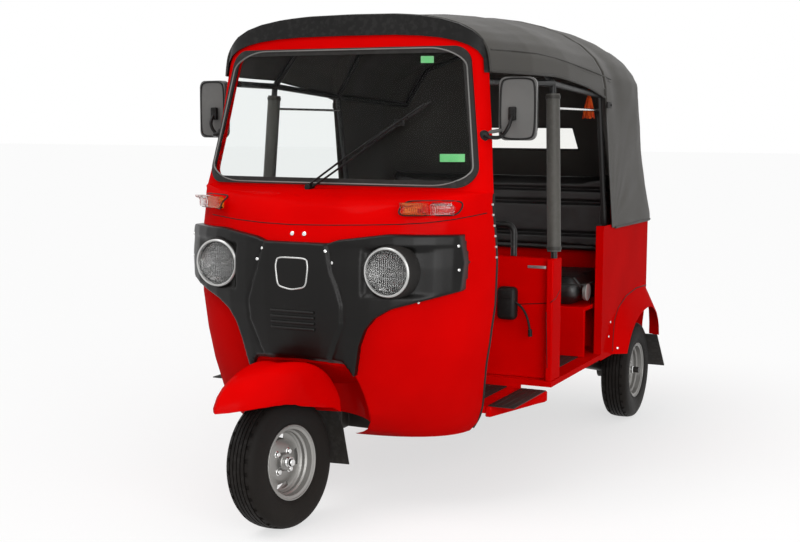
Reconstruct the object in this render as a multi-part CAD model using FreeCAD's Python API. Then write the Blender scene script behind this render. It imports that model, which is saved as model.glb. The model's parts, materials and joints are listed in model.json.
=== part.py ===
import FreeCAD, Part
import math
import os

os.makedirs("parts", exist_ok=True)
V = FreeCAD.Vector

# Auto rickshaw: one steered front wheel, two rear wheels, open sides and a soft top.
# Millimetres. +Z is up, -Y is forwards, +X is the vehicle's left side.
# The origin is on the ground, on the centre line, at the middle of the overall length.

# Running gear
front_axle_y = -1037.5
rear_axle_y = 962.5
half_track = 546.0
tyre_radius = 207.0
tyre_half_width = 56.0
bead_radius = 104.0
rim_flange_radius = 116.0
rim_half_width = 46.0
axle_radius = 12.5
running_gap = 0.1
hub_radius = 30.0
drum_radius = 74.0
wheel_sides = 40
tube_sides = 12
bend_steps = 4
flatness = 1e-7

# Steering: the column leans back, and the front end stands turned to the right
steer_rake = 29.0
steer_foot_y = -1132.5
steer_at_rest = -9.5
column_radius = 19.9
head_tube_bore = 20.0
head_tube_radius = 27.0
head_tube_span = (556.0, 930.0)
bar_station = 1075.0
bar_half_width = 285.0
bar_sweep = 150.0
bar_radius = 12.0
grip_radius = 17.0
fork_half_width = 76.0
# recess for the turning wheel: distance up the steering axis, radius
recess_rows = [(120.0, 262.0), (300.0, 250.0), (430.0, 234.0), (552.0, 168.0)]
recess_sheet = 3.0
recess_sides = 40

# Floor, chassis and tub
floor_top = 334.0
floor_under = 310.0
deck_front_y = -540.0
deck_half_width = 485.0
rear_floor_top = 365.0
rear_floor_under = 345.0
rail_depth = 70.0
body_half_width = 600.0
body_sheet = 4.0
tub_rear_y = 1205.0
tub_corner = 150.0
tub_bottom = 340.0
waist_height = 795.0
quarter_height = 868.0
post_front_y = -205.0
post_rear_y = -110.0
partition_rear_y = -150.0
door_rear_y = 400.0
seat_front_y = 300.0
seat_base_height = 560.0

# Front shell: superelliptic plan sections about this centre
shell_wall = 4.0
shell_centre_y = -500.0
bow_steps = 24
# height, half width, depth ahead of the centre, squareness
shell_rows = [
    (250.0, 440.0, 262.0, 2.6),
    (280.0, 468.0, 318.0, 2.3),
    (340.0, 492.0, 360.0, 2.2),
    (450.0, 520.0, 398.0, 2.2),
    (560.0, 537.0, 419.0, 2.25),
    (685.0, 549.0, 431.0, 2.3),
    (820.0, 553.0, 431.0, 2.3),
    (900.0, 552.0, 419.0, 2.3),
    (960.0, 549.0, 402.0, 2.3),
    (1000.0, 547.0, 386.0, 2.35),
    (1022.0, 546.0, 352.0, 2.6),
    (1034.0, 545.0, 306.0, 3.0),
    (1042.0, 544.0, 256.0, 3.9),
    (1048.0, 543.0, 206.0, 5.0),
]

# Windscreen frame: height, half width, front face, rear edge, squareness
frame_wall = 22.0
frame_rows = [
    (1048.0, 543.0, -706.0, -618.0, 5.0),
    (1130.0, 527.0, -687.0, -594.0, 4.8),
    (1221.0, 514.0, -666.0, -572.0, 4.6),
    (1330.0, 502.0, -641.0, -560.0, 4.4),
    (1432.0, 493.0, -618.0, -550.0, 4.2),
    (1520.0, 483.0, -598.0, -546.0, 4.0),
    (1625.0, 468.0, -576.0, -540.0, 4.0),
]
screen_low = (506.0, 1058.0)
screen_high = (437.0, 1507.0)
screen_corner = 60.0
screen_rebate = 14.0
seal_width = 22.0
seal_proud = 8.0
glass_thick = 5.0
visor_thick = 7.0
visor_half_width = 484.0
visor_low = 1422.0
visor_rise = 126.0

# Soft top
cloth = 5.0
roof_steps = 16
foot_flare = 13.5
canopy_front_y = -560.0
hood_bottom = quarter_height - 20.0
# station along the body, half width, eave height, crown height, squareness
roof_rows = [
    (-700.0, 484.0, 1426.0, 1607.0, 3.2),
    (-560.0, 498.0, 1424.0, 1618.0, 3.0),
    (-300.0, 552.0, 1422.0, 1640.0, 2.7),
    (0.0, 582.0, 1414.0, 1662.0, 2.4),
    (400.0, 593.0, 1396.0, 1682.0, 2.15),
    (700.0, 594.0, 1380.0, 1686.0, 2.05),
    (1000.0, 594.0, 1360.0, 1667.0, 2.0),
    (1300.0, 590.0, 1345.0, 1640.0, 2.0),
]
# height above the hood's lower edge, half width, rear face, squareness
hood_rows = [
    (-28.0, 610.0, 1244.0, 8.5),
    (32.0, 610.0, 1232.0, 8.0),
    (152.0, 606.0, 1206.0, 5.5),
    (302.0, 602.0, 1182.0, 4.4),
    (552.0, 597.0, 1168.0, 3.6),
    (702.0, 594.0, 1140.0, 3.2),
    (872.0, 590.0, 1080.0, 3.0),
]
# lower edge of the top, seen from the side
eave_line = [(-700.0, 1424.0), (-109.0, 1426.0), (200.0, 1398.0), (404.0, 1362.0),
             (501.0, hood_bottom + 7.0)]
window_low = (252.0, hood_bottom + 299.0)
window_high = (222.0, hood_bottom + 402.0)
post_foot = (588.0, -160.0, 770.0)
post_head = (560.0, -125.0, 1400.0)

# Rear wheel arch seen from the side: seam on the panel, then the flared lip
arch_seam = [(565.0, 340.0), (588.0, 430.0), (660.0, 528.0), (850.0, 576.0), (1055.0, 567.0), (1128.0, 470.0),
             (1150.0, 340.0)]
arch_lip = [(600.0, 340.0), (622.0, 372.0), (671.0, 424.0), (850.0, 492.0), (1010.0, 484.0), (1100.0, 420.0),
            (1128.0, 340.0)]
arch_reach = 50.0
arch_inner_x = 470.0
arch_ceiling = 543.0
arch_steps = 16

# Front mudguard: share of its length from nose to tail, height of the crown
mudguard_half_width = 97.0
mudguard_sheet = 3.0
mudguard_tip_y = -1317.5
mudguard_root_y = -1060.0
mudguard_tail_y = -835.0
mudguard_shoulder = 42.0
crown_rows = [(0.0, 424.0), (0.07, 466.0), (0.26, 507.0), (0.51, 523.0), (0.74, 500.0), (0.91, 446.0), (1.0, 370.0)]
skirt_rows = [(0.0, 412.0), (0.2, 390.0), (0.6, 366.0), (0.85, 352.0), (1.0, 333.0)]

# Seats
mat_thick = 4.0
driver_seat = (-250.0, 250.0, -520.0, -215.0)
cushion_round = 26.0

# Mirrors, as seen by the driver
mirror_size = (121.0, 25.0, 202.0)
mirror_place = (577.0, -515.0, 1308.0)
mirror_toe = 10.0

# Rear end
bumper_y = 1293.0
bumper_height = 355.0
bumper_radius = 17.5
bumper_half_length = 520.0
plate_thick = 3.0
plate_size = (280.0, 100.0)
plate_height = quarter_height - 78.0
plate_hole_x = 110.0
plate_hole_height = plate_height + 35.0
plate_hole_radius = 3.5
door_half_width = 295.0
door_low = 425.0
door_high = 698.0
door_sheet = 6.0
hinge_y = 1214.0
hinge_height = 706.0
hinge_pin = 4.0


# Small helpers

def box(x0, x1, y0, y1, z0, z1):
    return Part.makeBox(x1 - x0, y1 - y0, z1 - z0, V(x0, y0, z0))


def rod(a, b, radius):
    a, b = V(*a), V(*b)
    return Part.makeCylinder(radius, (b - a).Length, a, b - a)


def pipe(a, b, radius, bore):
    return rod(a, b, radius).cut(rod(a, b, bore))


def outline(points, axis, at):
    # Closed outline given in the two other axes, in their order
    place = {"x": lambda a, b: V(at, a, b), "y": lambda a, b: V(a, at, b), "z": lambda a, b: V(a, b, at)}[axis]
    pts = [place(a, b) for a, b in points]
    return Part.makePolygon(pts + [pts[0]])


def prism(points, axis, start, stop):
    way = {"x": V(1, 0, 0), "y": V(0, 1, 0), "z": V(0, 0, 1)}[axis]
    return Part.Face(outline(points, axis, start)).extrude(way * (stop - start))


def chords(points, steps):
    # A smooth curve through the points, as short straight runs
    curve = Part.BSplineCurve()
    curve.interpolate(points)
    return curve.discretize(Number=steps + 1)


def closed(points):
    return Part.makePolygon(points + [points[0]])


def arch_points(points, x):
    # A curve seen from the side, closed by a straight foot
    return chords([V(x, y, z) for y, z in points], arch_steps)


def runs_along(axis):
    def test(edge):
        d = edge.Vertexes[-1].Point - edge.Vertexes[0].Point
        return d.Length > 1e-6 and abs(d.dot(axis)) / d.Length > 0.999
    return test


def rounded(shape, radius, wanted):
    edges = [e for e in shape.Edges if wanted(e)]
    return shape.makeFillet(radius, edges)


def pad_box(x0, x1, y0, y1, z0, z1, radius, axis):
    # Box with its long edges rounded
    return rounded(box(x0, x1, y0, y1, z0, z1), radius, runs_along(axis))


def mirrored(shape):
    return shape.mirror(V(0, 0, 0), V(1, 0, 0))


def both(shape):
    return Part.makeCompound([shape, mirrored(shape)])


def patch(a, b, c, d):
    # One flat face where the four corners lie in a plane, otherwise two triangles
    normal = (b - a).cross(c - a)
    flat = normal.Length > 0.0 and abs(normal.dot(d - a)) < flatness * normal.Length
    loops = [[a, b, c, d]] if flat else [[a, b, c], [a, c, d]]
    return [Part.Face(closed(loop)) for loop in loops]


def joined(rings, loop=False):
    # Like outlines, one after another, joined by flat facets and closed at both ends
    faces = []
    for one, two in zip(rings, rings[1:] + (rings[:1] if loop else [])):
        for i in range(len(one)):
            j = (i + 1) % len(one)
            faces += patch(one[i], one[j], two[j], two[i])
    if not loop:
        faces += [Part.Face(closed(rings[0])), Part.Face(closed(rings[-1]))]
    shell = Part.Shell(faces)
    shell.sewShape()
    solid = Part.Solid(shell)
    if solid.Volume < 0.0:
        solid.reverse()
    return solid


def bent_rod(points, bend, radius):
    # Tube with rounded corners, its skin in flat strips that meet in mitres
    pts = [V(*p) for p in points]
    path = [pts[0]]
    for before, here, after in zip(pts, pts[1:], pts[2:]):
        u, w = (before - here).normalize(), (after - here).normalize()
        half = u.getAngle(w) / 2.0
        start, stop = here + u * (bend / math.tan(half)), here + w * (bend / math.tan(half))
        middle = here + (u + w).normalize() * (bend / math.sin(half) - bend)
        path += Part.Arc(start, middle, stop).toShape().discretize(Number=bend_steps + 1)
    path.append(pts[-1])
    ways = [(b - a).normalize() for a, b in zip(path, path[1:])]
    side = ways[0].cross(V(0.0, 0.6, 0.8)).normalize()
    rings = [flat_ring(path[0], ways[0], side, radius, tube_sides)]
    for i, way in enumerate(ways):
        mitre = way + ways[min(i + 1, len(ways) - 1)]
        rings.append([q + way * ((path[i + 1] - q).dot(mitre) / way.dot(mitre)) for q in rings[-1]])
    return joined(rings)


def flat_ring(centre, axis, first, radius, sides):
    # Regular polygon square to the axis, its flats at the radius and one of them facing first
    second = axis.cross(first)
    reach = radius / math.cos(math.pi / sides)
    pts = []
    for i in range(sides):
        a = 2.0 * math.pi * (i + 0.5) / sides
        pts.append(centre + first * (reach * math.cos(a)) + second * (reach * math.sin(a)))
    return pts


def turned(profile, hub, sides):
    # Closed outline of (distance along X, radius), turned about the wheel's axle in flat facets
    rings = [flat_ring(V(*hub) + V(a, 0, 0), V(1, 0, 0), V(0, 0, -1), r, sides) for a, r in profile]
    return joined(rings, True)


def spread(shape):
    solids = shape.Solids
    return solids[0] if len(solids) == 1 else Part.makeCompound(solids)


# Lofted skins

def bow(step, steps, square):
    # A point of a superelliptic bow: its share of the half width and of the depth
    a = math.pi * step / steps
    across, ahead = round(math.cos(a), 12), round(math.sin(a), 12)
    power = 2.0 / square
    return math.copysign(abs(across) ** power, across), ahead ** power


def bow_outline(z, half, tip, root, square, back_reach=60.0):
    # Plan outline: a bow from root to tip, closed by straight sides and a straight back
    pts = []
    for i in range(bow_steps + 1):
        across, ahead = bow(i, bow_steps, square)
        pts.append(V(half * across, root + (tip - root) * ahead, z))
    back = root - math.copysign(back_reach, tip - root)
    return pts + [V(-half, back, z), V(half, back, z)]


def bow_loft(rows, root, grow=0.0, reach=0.0):
    # rows of (height, half width, tip, squareness); grow is taken square to the surface at the tip
    rings = []
    for i, (z, half, tip, square) in enumerate(rows):
        lo, hi = rows[max(i - 1, 0)], rows[min(i + 1, len(rows) - 1)]
        slope = abs(hi[2] - lo[2]) / (hi[0] - lo[0])
        out = grow * min(math.hypot(1.0, slope), 4.5)
        shift = {0: -reach, len(rows) - 1: reach}.get(i, 0.0)
        way = math.copysign(1.0, tip - root)
        rings.append(bow_outline(z + shift, half + grow, tip + way * out, root, square, 60.0 - min(grow, 0.0)))
    return joined(rings)


shell_sections = [(z, w, shell_centre_y - d, n) for z, w, d, n in shell_rows]
frame_sections = [(z, w, front, n) for z, w, front, rear, n in frame_rows]


def nose(grow=0.0, reach=0.0):
    return bow_loft(shell_sections, shell_centre_y, grow, reach)


def brow(grow=0.0, reach=0.0):
    return bow_loft(frame_sections, shell_centre_y, grow, reach)


def roof_outline(y, half, eave, crown, square, foot):
    pts = []
    for i in range(roof_steps + 1):
        across, up = bow(i, roof_steps, square)
        pts.append(V(half * across, y, eave + (crown - eave) * up))
    return pts + [V(-half - foot_flare, y, foot), V(half + foot_flare, y, foot)]


def top_envelope(inset=0.0):
    # Everything under the soft top, from the windscreen to the back curtain
    foot = hood_bottom - inset
    rings = [roof_outline(y, half - inset, eave, crown - inset, square, foot)
             for y, half, eave, crown, square in roof_rows]
    over = joined(rings)
    rows = [(hood_bottom + up, half, rear, square) for up, half, rear, square in hood_rows]
    hood = bow_loft(rows, 700.0, -inset)
    front = box(-800, 800, -760, 705, 600, 2000)
    return over.common(hood.fuse(front))


# Steering geometry

rake = math.radians(steer_rake)
steer_way = V(0, math.sin(rake), math.cos(rake))
steer_foot = V(0, steer_foot_y, 0)


def on_steer(up, ahead=0.0, side=0.0):
    # Distance up the steering axis, ahead of it and to its left
    return steer_foot + steer_way * up + V(0, -math.cos(rake), math.sin(rake)) * ahead + V(side, 0, 0)


def steer_rod(up, stop, radius, ahead=0.0, side=0.0):
    return rod(on_steer(up, ahead, side), on_steer(stop, ahead, side), radius)


def recess(grow=0.0):
    # The space that the turning wheel sweeps, round the steering axis
    rows = [(s, r + grow) for s, r in recess_rows]
    rows[-1] = (rows[-1][0] + grow, rows[-1][1])
    rings = [flat_ring(on_steer(s), steer_way, V(1, 0, 0), r, recess_sides) for s, r in rows]
    return joined(rings)


def at_rest(shape):
    shape = shape.copy()
    shape.rotate(steer_foot, steer_way, steer_at_rest)
    return shape


# Front shell, windscreen and their fittings

def ahead_of_doorway():
    # Everything in front of the driver's doorway, as seen from the side
    edge = [(-562.0, 200.0), (-556.0, 300.0), (-582.0, 390.0), (-603.0, 460.0), (-608.0, 560.0),
            (-601.0, 740.0), (-604.0, 872.0), (-616.0, 1000.0), (-618.0, 1070.0)]
    pts = chords([V(-700, y, z) for y, z in edge], arch_steps)
    return Part.Face(closed(pts + [V(-700, -1100, 1070), V(-700, -1100, 200)])).extrude(V(1400, 0, 0))


def front_cowl():
    return nose().cut(nose(-shell_wall, 1.0)).common(ahead_of_doorway()).cut(recess(recess_sheet))


def frame_trim():
    pts = [(rear, z) for z, w, front, rear, n in frame_rows]
    return prism(pts + [(0.0, frame_rows[-1][0] + 5), (0.0, frame_rows[0][0])], "x", -700, 700)


def screen_hole(inset):
    (wl, zl), (wh, zh) = screen_low, screen_high
    i = inset
    block = prism([(-wl + i, zl + i), (wl - i, zl + i), (wh - i, zh - i), (-wh + i, zh - i)], "y", -900, -560)
    return rounded(block, screen_corner - i, runs_along(V(0, 1, 0)))


def windscreen_frame():
    shell = brow().cut(brow(-frame_wall, 1.0)).cut(frame_trim()).cut(screen_hole(screen_rebate))
    return shell.common(top_space(cloth))


def top_space(inset):
    # Under the front of the roof, open sideways below its shoulders
    rows = [roof_outline(y, half - inset, eave, crown - inset, square, 900) for y, half, eave, crown, square in
            roof_rows[:3]]
    upper = joined(rows).common(box(-700, 700, -720, -300, 1440, 2000))
    return upper.fuse(box(-700, 700, -760, -300, 1000, 1440))


def windscreen_seal():
    ring = screen_hole(0.0).cut(screen_hole(seal_width))
    return brow(seal_proud).cut(brow()).common(ring)


def windscreen_glass():
    return brow().cut(brow(-glass_thick, 1.0)).common(screen_hole(screen_rebate))


def bezel_outline():
    right = [(115.0, 890.0), (150.0, 902.0), (300.0, 922.0), (488.0, 918.0), (500.0, 830.0), (492.0, 743.0),
             (420.0, 722.0), (310.0, 690.0), (262.0, 660.0), (232.0, 622.0), (212.0, 570.0), (190.0, 470.0)]
    return right + [(-x, z) for x, z in reversed(right)]


def lamp_centres():
    return [(307.0, 807.0), (-307.0, 807.0)]


def front_bezel():
    skin = nose(30.0).cut(nose()).common(prism(bezel_outline(), "y", -1000, -600))
    for x, z in lamp_centres():
        skin = skin.cut(rod((x, -1000, z), (x, -700, z), 76.0))
    for z in (652.0, 668.0, 684.0):
        skin = skin.cut(box(-74, 74, -1000, -920, z, z + 7))
    return skin.cut(recess(recess_sheet))


def headlamps():
    lamps = []
    for x, z in lamp_centres():
        body = rod((x, -908, z), (x, -780, z), 76.0)
        lens = Part.makeCone(67.0, 46.0, 12.0, V(x, -908, z), V(0, -1, 0))
        lamps.append(body.fuse(lens).cut(nose()))
    return Part.makeCompound(lamps)


def indicators():
    pts = [(322.0, 978.0), (322.0, 1020.0), (400.0, 1018.0), (474.0, 1008.0), (474.0, 978.0)]
    return nose(24.0).cut(nose(0.6)).common(both(prism(pts, "y", -1000, -660)))


def wiper():
    pivot = rod((-70, -726, 1030), (-70, -736, 1068), 10.0).cut(nose())
    arm = rod((-70, -733, 1062), (104, -689, 1180), 4.0)
    blade = rod((104, -689, 1180), (323, -653, 1326), 4.0)
    return pivot.multiFuse([arm, blade])


def roof_visor():
    outer = brow(visor_thick).common(top_space(0.0))
    skin = outer.cut(brow().common(top_space(cloth))).cut(frame_trim())
    edge = [bow(i, roof_steps, 3.2) for i in range(roof_steps + 1)]
    under = [(visor_half_width * across, visor_low + visor_rise * up) for across, up in edge]
    w, top = visor_half_width + 80, visor_low + 280
    return skin.common(prism(under + [(-w, visor_low), (-w, top), (w, top), (w, visor_low)], "y", -760, canopy_front_y))


def mirrors():
    w, t, h = mirror_size
    x, y, z = mirror_place
    head = pad_box(x - w / 2, x + w / 2, y - t / 2, y + t / 2, z - h / 2, z + h / 2, 24.0, V(0, 1, 0))
    head.rotate(V(x, y, z), V(0, 0, 1), mirror_toe)
    arm = rod((500, -588, z - 76), (x - w / 2 + 20, y, z - 66), 6.0)
    return both(head.fuse(arm)).cut(windscreen_frame())


def instrument_panel():
    hanger = box(-70, 70, -772, -766, 980, 1060).common(nose(-shell_wall - 0.3))
    return pad_box(-120, 120, -790, -740, 900, 985, 12.0, V(0, 1, 0)).fuse(hanger)


def wheel_housing():
    skin = recess(recess_sheet).cut(recess()).common(nose(-shell_wall, 1.0))
    skin = skin.common(box(-700, 700, -1200, -500, floor_under, 1000))
    return skin.cut(steer_rod(500, 600, 30.0))


# Floor, chassis and seats

def floor_pan():
    front = nose(-shell_wall, 1.0).common(box(-700, 700, -1000, deck_front_y, floor_under, floor_top))
    deck = box(-deck_half_width, deck_half_width, deck_front_y, post_front_y, floor_under, floor_top)
    back = box(-600, 600, post_front_y, door_rear_y, rear_floor_under, rear_floor_top)
    inner = body_half_width - body_sheet
    under = box(-inner, inner, door_rear_y, 560, rear_floor_under, rear_floor_top)
    wall = box(-deck_half_width, deck_half_width, post_front_y, post_front_y + 12, floor_under, rear_floor_top)
    return front.multiFuse([deck, wall, back, under]).cut(recess(recess_sheet)).cut(neck()).removeSplitter()


def side_steps():
    x, end = deck_half_width, post_front_y - 7.0
    pts = [(x, deck_front_y), (x + 20, deck_front_y), (580.0, -265.0), (590.0, -240.0), (590.0, end), (x, end)]
    return both(prism(pts, "z", floor_under - 12.0, floor_top))


def floor_mats():
    front = box(-440, 440, -590, -215, floor_top, floor_top + mat_thick).cut(neck())
    rear = box(-540, 540, -95, seat_front_y - 5, rear_floor_top, rear_floor_top + mat_thick)
    return Part.makeCompound([front, rear])


def neck():
    return box(-30, 30, -690, -600, floor_under - rail_depth, 760)


def chassis_frame():
    low = floor_under - rail_depth
    rail = box(240, 290, -640, 1180, low, floor_under)
    parts = [mirrored(rail)]
    for y, top in ((-640, floor_under), (-190, rear_floor_under), (290, rear_floor_under), (640, floor_under),
                   (1130, floor_under)):
        parts.append(box(-290, 290, y, y + 50, low, top))
    tube = steer_rod(head_tube_span[0], head_tube_span[1], head_tube_radius)
    frame = rail.multiFuse(parts + [neck(), tube])
    return frame.cut(steer_rod(500, 1000, head_tube_bore)).removeSplitter()


def partition():
    wall = box(-576, 576, partition_rear_y - 20, partition_rear_y, rear_floor_top, waist_height)
    post = box(576, 600, post_front_y, post_rear_y, rear_floor_top, waist_height)
    return wall.fuse([post, mirrored(post)])


def driver_seat_base():
    x0, x1, y0, y1 = driver_seat
    return pad_box(x0, x1, y0, y1, floor_top + mat_thick, seat_base_height, 20.0, V(0, 0, 1))


def driver_cushion():
    return pad_box(-262, 262, -540, -195, seat_base_height, 640, cushion_round, V(1, 0, 0))


def driver_backrest():
    return pad_box(-280, 280, -212, -170, 665, 850, 16.0, V(1, 0, 0))


def passenger_seat_base():
    front = box(-560, 560, seat_front_y, seat_front_y + 16, rear_floor_top, seat_base_height)
    deck = box(-560, 560, seat_front_y + 16, 860, seat_base_height - 16, seat_base_height)
    back = box(-560, 560, 860, 876, seat_base_height - 16, 1000)
    return front.fuse([deck, back])


def passenger_cushion():
    return pad_box(-556, 556, seat_front_y - 12, 790, seat_base_height, 668, cushion_round, V(1, 0, 0))


def passenger_backrest():
    return pad_box(-540, 540, 790, 860, 690, 1080, cushion_round, V(1, 0, 0))


# Tub

def tub_solid(inset):
    w, r = body_half_width - inset, tub_rear_y - inset
    block = box(-w, w, door_rear_y, r, tub_bottom, quarter_height)
    corner = runs_along(V(0, 0, 1))
    return rounded(block, tub_corner - inset, lambda e: corner(e) and e.Vertexes[0].Point.y > 900)


def tub_skin():
    w, r = body_half_width - body_sheet, tub_rear_y - body_sheet
    block = box(-w, w, door_rear_y - 200, r, tub_bottom - 5, quarter_height + 5)
    corner = runs_along(V(0, 0, 1))
    hollow = rounded(block, tub_corner - body_sheet, lambda e: corner(e) and e.Vertexes[0].Point.y > 900)
    return tub_solid(0.0).cut(hollow)


def inset_arch(points, inset):
    # Pull an arch towards the middle of its foot
    cy = 0.5 * (points[0][0] + points[-1][0])
    cz = points[0][1]
    out = []
    for y, z in points:
        d = math.hypot(y - cy, z - cz)
        k = (d - inset) / d
        out.append((cy + (y - cy) * k, cz + (z - cz) * k - (5.0 if inset > 0 else 0.0)))
    return out


def wheel_arch(inset, x_in, x_out):
    # Wheel house inboard of the panel, and the flare outboard of it
    seam, lip = inset_arch(arch_seam, inset), inset_arch(arch_lip, inset)
    inner = Part.Face(closed(arch_points(seam, x_in))).extrude(V(body_half_width - x_in, 0, 0))
    inner = inner.common(box(0, 900, 0, 2000, 0, arch_ceiling - inset))
    flare = joined([arch_points(seam, body_half_width), arch_points(lip, x_out)])
    return inner, flare


def left_quarter():
    skin = tub_skin().common(box(430, 700, 0, 2000, 0, 2000))
    house, flare = wheel_arch(0.0, arch_inner_x, body_half_width + arch_reach)
    hollow, _ = wheel_arch(body_sheet, arch_inner_x + body_sheet, 700)
    skin = skin.fuse(house.common(tub_solid(0.5))).cut(hollow)
    hole = Part.Face(closed(arch_points(inset_arch(arch_seam, body_sheet), 590))).extrude(V(110, 0, 0))
    hole = hole.common(box(590, 700, 0, 2000, 0, arch_ceiling - body_sheet))
    flange = box(570, 596.5, door_rear_y, door_rear_y + 22, rear_floor_top, quarter_height)
    return skin.cut(hole).fuse(flange)


def rear_mudguards():
    _, flare = wheel_arch(0.0, arch_inner_x, body_half_width + arch_reach)
    seam, lip = inset_arch(arch_seam, body_sheet), inset_arch(arch_lip, body_sheet)
    hollow = joined([arch_points(seam, body_half_width - 0.01), arch_points(lip, body_half_width + arch_reach + 0.01)])
    return both(spread(flare.cut(hollow)))


def rear_panel():
    skin = tub_skin().common(box(-430, 430, 1000, 2000, 0, 2000))
    skin = skin.cut(box(-door_half_width - 5, door_half_width + 5, 1100, 1300, door_low - 5, hinge_height - 2))
    end = door_half_width + 15
    pin = rod((-end, hinge_y, hinge_height), (end, hinge_y, hinge_height), hinge_pin)
    ears = [box(s * end - 6, s * end + 6, tub_rear_y, hinge_y + 6, hinge_height - 6, hinge_height + 8) for s in (-1, 1)]
    return skin.multiFuse([pin] + ears)


def engine_door():
    w, z0, z1 = door_half_width, door_low, door_high
    plate = box(-w, w, tub_rear_y - door_sheet, tub_rear_y, z0, z1)
    for i in range(5):
        z = z0 + 45.0 + 36.0 * i
        plate = plate.cut(box(-w + 75, w - 75, 1190, 1210, z, z + 9))
    knuckles = []
    for x in (-200.0, 140.0):
        barrel = rod((x, hinge_y, hinge_height), (x + 60, hinge_y, hinge_height), 2.0 * hinge_pin)
        leaf = box(x, x + 60, tub_rear_y, tub_rear_y + 4, z1 - 28, z1 + 2)
        knuckles += [barrel, leaf, box(x, x + 60, tub_rear_y + 2, hinge_y - 2, z1 - 4, hinge_height - 2)]
    bore = rod((-w - 5, hinge_y, hinge_height), (w + 5, hinge_y, hinge_height), hinge_pin + running_gap)
    return plate.multiFuse(knuckles).cut(bore)


def mud_flaps():
    z = tub_bottom - 0.3
    flap = prism([(1130.0, z), (1136.0, z), (1282.0, 180.0), (1276.0, 176.0)], "x", 563, 640)
    return both(flap)


def tail_lamps():
    lamp = pad_box(478, 538, 1120, 1222, 610, 740, 8.0, V(0, 1, 0))
    return both(lamp.cut(tub_solid(0.0)))


def rear_bumper():
    y, z = bumper_y, bumper_height
    bar = rod((-bumper_half_length, y, z), (bumper_half_length, y, z), bumper_radius)
    collar = rod((257, y, z), (287, y, z), bumper_radius + 3)
    stay = box(262, 282, 1180, y, 280, floor_under)
    up = box(262, 282, y - 20, y, 280, z)
    return bar.multiFuse([stay, mirrored(stay), up, mirrored(up), collar, mirrored(collar)])


def number_plate():
    w, h = plate_size
    plate = box(-w / 2, w / 2, tub_rear_y, tub_rear_y + plate_thick, plate_height - h / 2, plate_height + h / 2)
    for x in (-plate_hole_x, plate_hole_x):
        z = plate_hole_height
        plate = plate.cut(rod((x, tub_rear_y - 5, z), (x, tub_rear_y + 10, z), plate_hole_radius))
    return plate


def engine():
    return box(-190, 190, 760, 1110, 200, 530)


def exhaust():
    silencer = rod((-180, 1232, 262), (180, 1232, 262), 44.0)
    feed = bent_rod([(100, 1110, 225), (100, 1200, 225), (100, 1232, 250)], 20.0, 13.0)
    return silencer.fuse(feed)


def rear_suspension():
    hub = (0.0, rear_axle_y, tyre_radius)
    pivot = rod((290, 665, 275), (440, 665, 275), 18.0)
    arm = rod((425, 665, 275), (452, rear_axle_y, tyre_radius), 20.0)
    carrier = rod((430, rear_axle_y, tyre_radius), (488, rear_axle_y, tyre_radius), 42.0)
    stub = rod((480, rear_axle_y, tyre_radius), (606, rear_axle_y, tyre_radius), axle_radius)
    shock = rod((440, 935, 240), (440, 900, 600), 22.0).common(box(0, 600, 0, 2000, 0, seat_base_height - 16))
    shaft = rod((191.5, rear_axle_y, 222), (440, rear_axle_y, 209), 12.0)
    return both(pivot.fuse([arm, carrier, stub, shock, shaft]))


# Frame of the soft top, and the soft top

def roof_frame():
    tubes = []
    side = bent_rod([(462, -535, 1395), (528, -300, 1398), (560, -125, 1400), (568, 404, 1372)], 40.0, 11.0)
    post = rod(post_foot, post_head, 11.0).common(box(0, 900, -900, 900, waist_height, 2000))
    rear = rod((568, 520, quarter_height - 20), (568, 404, 1372), 11.0)
    back = rod((568, 404, 1372), (530, 1000, 1345), 11.0)
    for t in (side, post, rear, back):
        tubes += [t, mirrored(t)]
    for y, w, z, top in ((-125, 560, 1400, 1618), (404, 568, 1372, 1652), (1000, 530, 1345, 1590)):
        tubes.append(bent_rod([(w, y, z), (w * 0.80, y, z + (top - z) * 0.66), (w * 0.32, y, top),
                               (-w * 0.32, y, top), (-w * 0.80, y, z + (top - z) * 0.66), (-w, y, z)], 60.0, 11.0))
    return tubes[0].multiFuse(tubes[1:])


def pillar_pads():
    a, b = V(*post_foot), V(*post_head)
    way = (b - a).normalize()
    return both(pipe(tuple(a + way * 48), tuple(b - way * 36), 24.0, 11.0))


def grab_rails():
    y = partition_rear_y + 11.3
    return bent_rod([(-430, y, 740), (-430, y, 905), (430, y, 905), (430, y, 740)], 30.0, 11.0)


def eave_cut():
    pts = eave_line + [(501.0, 500.0), (-900.0, 500.0), (-900.0, 1424.0)]
    return prism(pts, "x", -900, 900)


def soft_top():
    return top_envelope().cut(top_envelope(cloth)).cut(eave_cut()).cut(box(-900, 900, -900, canopy_front_y, 0, 3000))


def window_hole():
    (wl, zl), (wh, zh) = window_low, window_high
    return prism([(-wl, zl), (wl, zl), (wh, zh), (-wh, zh)], "y", 1000, 1400)


# Steered parts, drawn straight ahead

def steering_column():
    stem = steer_rod(470, bar_station, column_radius)
    crown = rod(on_steer(474, 0, -93), on_steer(474, 0, 93), 20.0)
    z = front_axle_height
    leg = rod(on_steer(474, 0, -fork_half_width), V(-fork_half_width, front_axle_y, z), 15.0)
    axle = rod((-100, front_axle_y, z), (48, front_axle_y, z), axle_radius)
    return stem.fuse([crown, leg, axle])


def handlebar():
    h = bar_station
    pts = [on_steer(h, -bar_sweep, bar_half_width), on_steer(h, -55, 150), on_steer(h + 14, 0, 70),
           on_steer(h + 14, 0, -70), on_steer(h, -55, -150), on_steer(h, -bar_sweep, -bar_half_width)]
    bar = bent_rod([tuple(p) for p in pts], 30.0, bar_radius)
    return bar.fuse(steer_rod(h, h + 30, 24.0))


def grips():
    out, end = on_steer(bar_station, -bar_sweep, bar_half_width), on_steer(bar_station, -55, 150)
    inward = (end - out).normalize()
    grip = rod(tuple(out - inward * 2), tuple(out + inward * 115), grip_radius)
    return both(grip).cut(handlebar())


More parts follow.
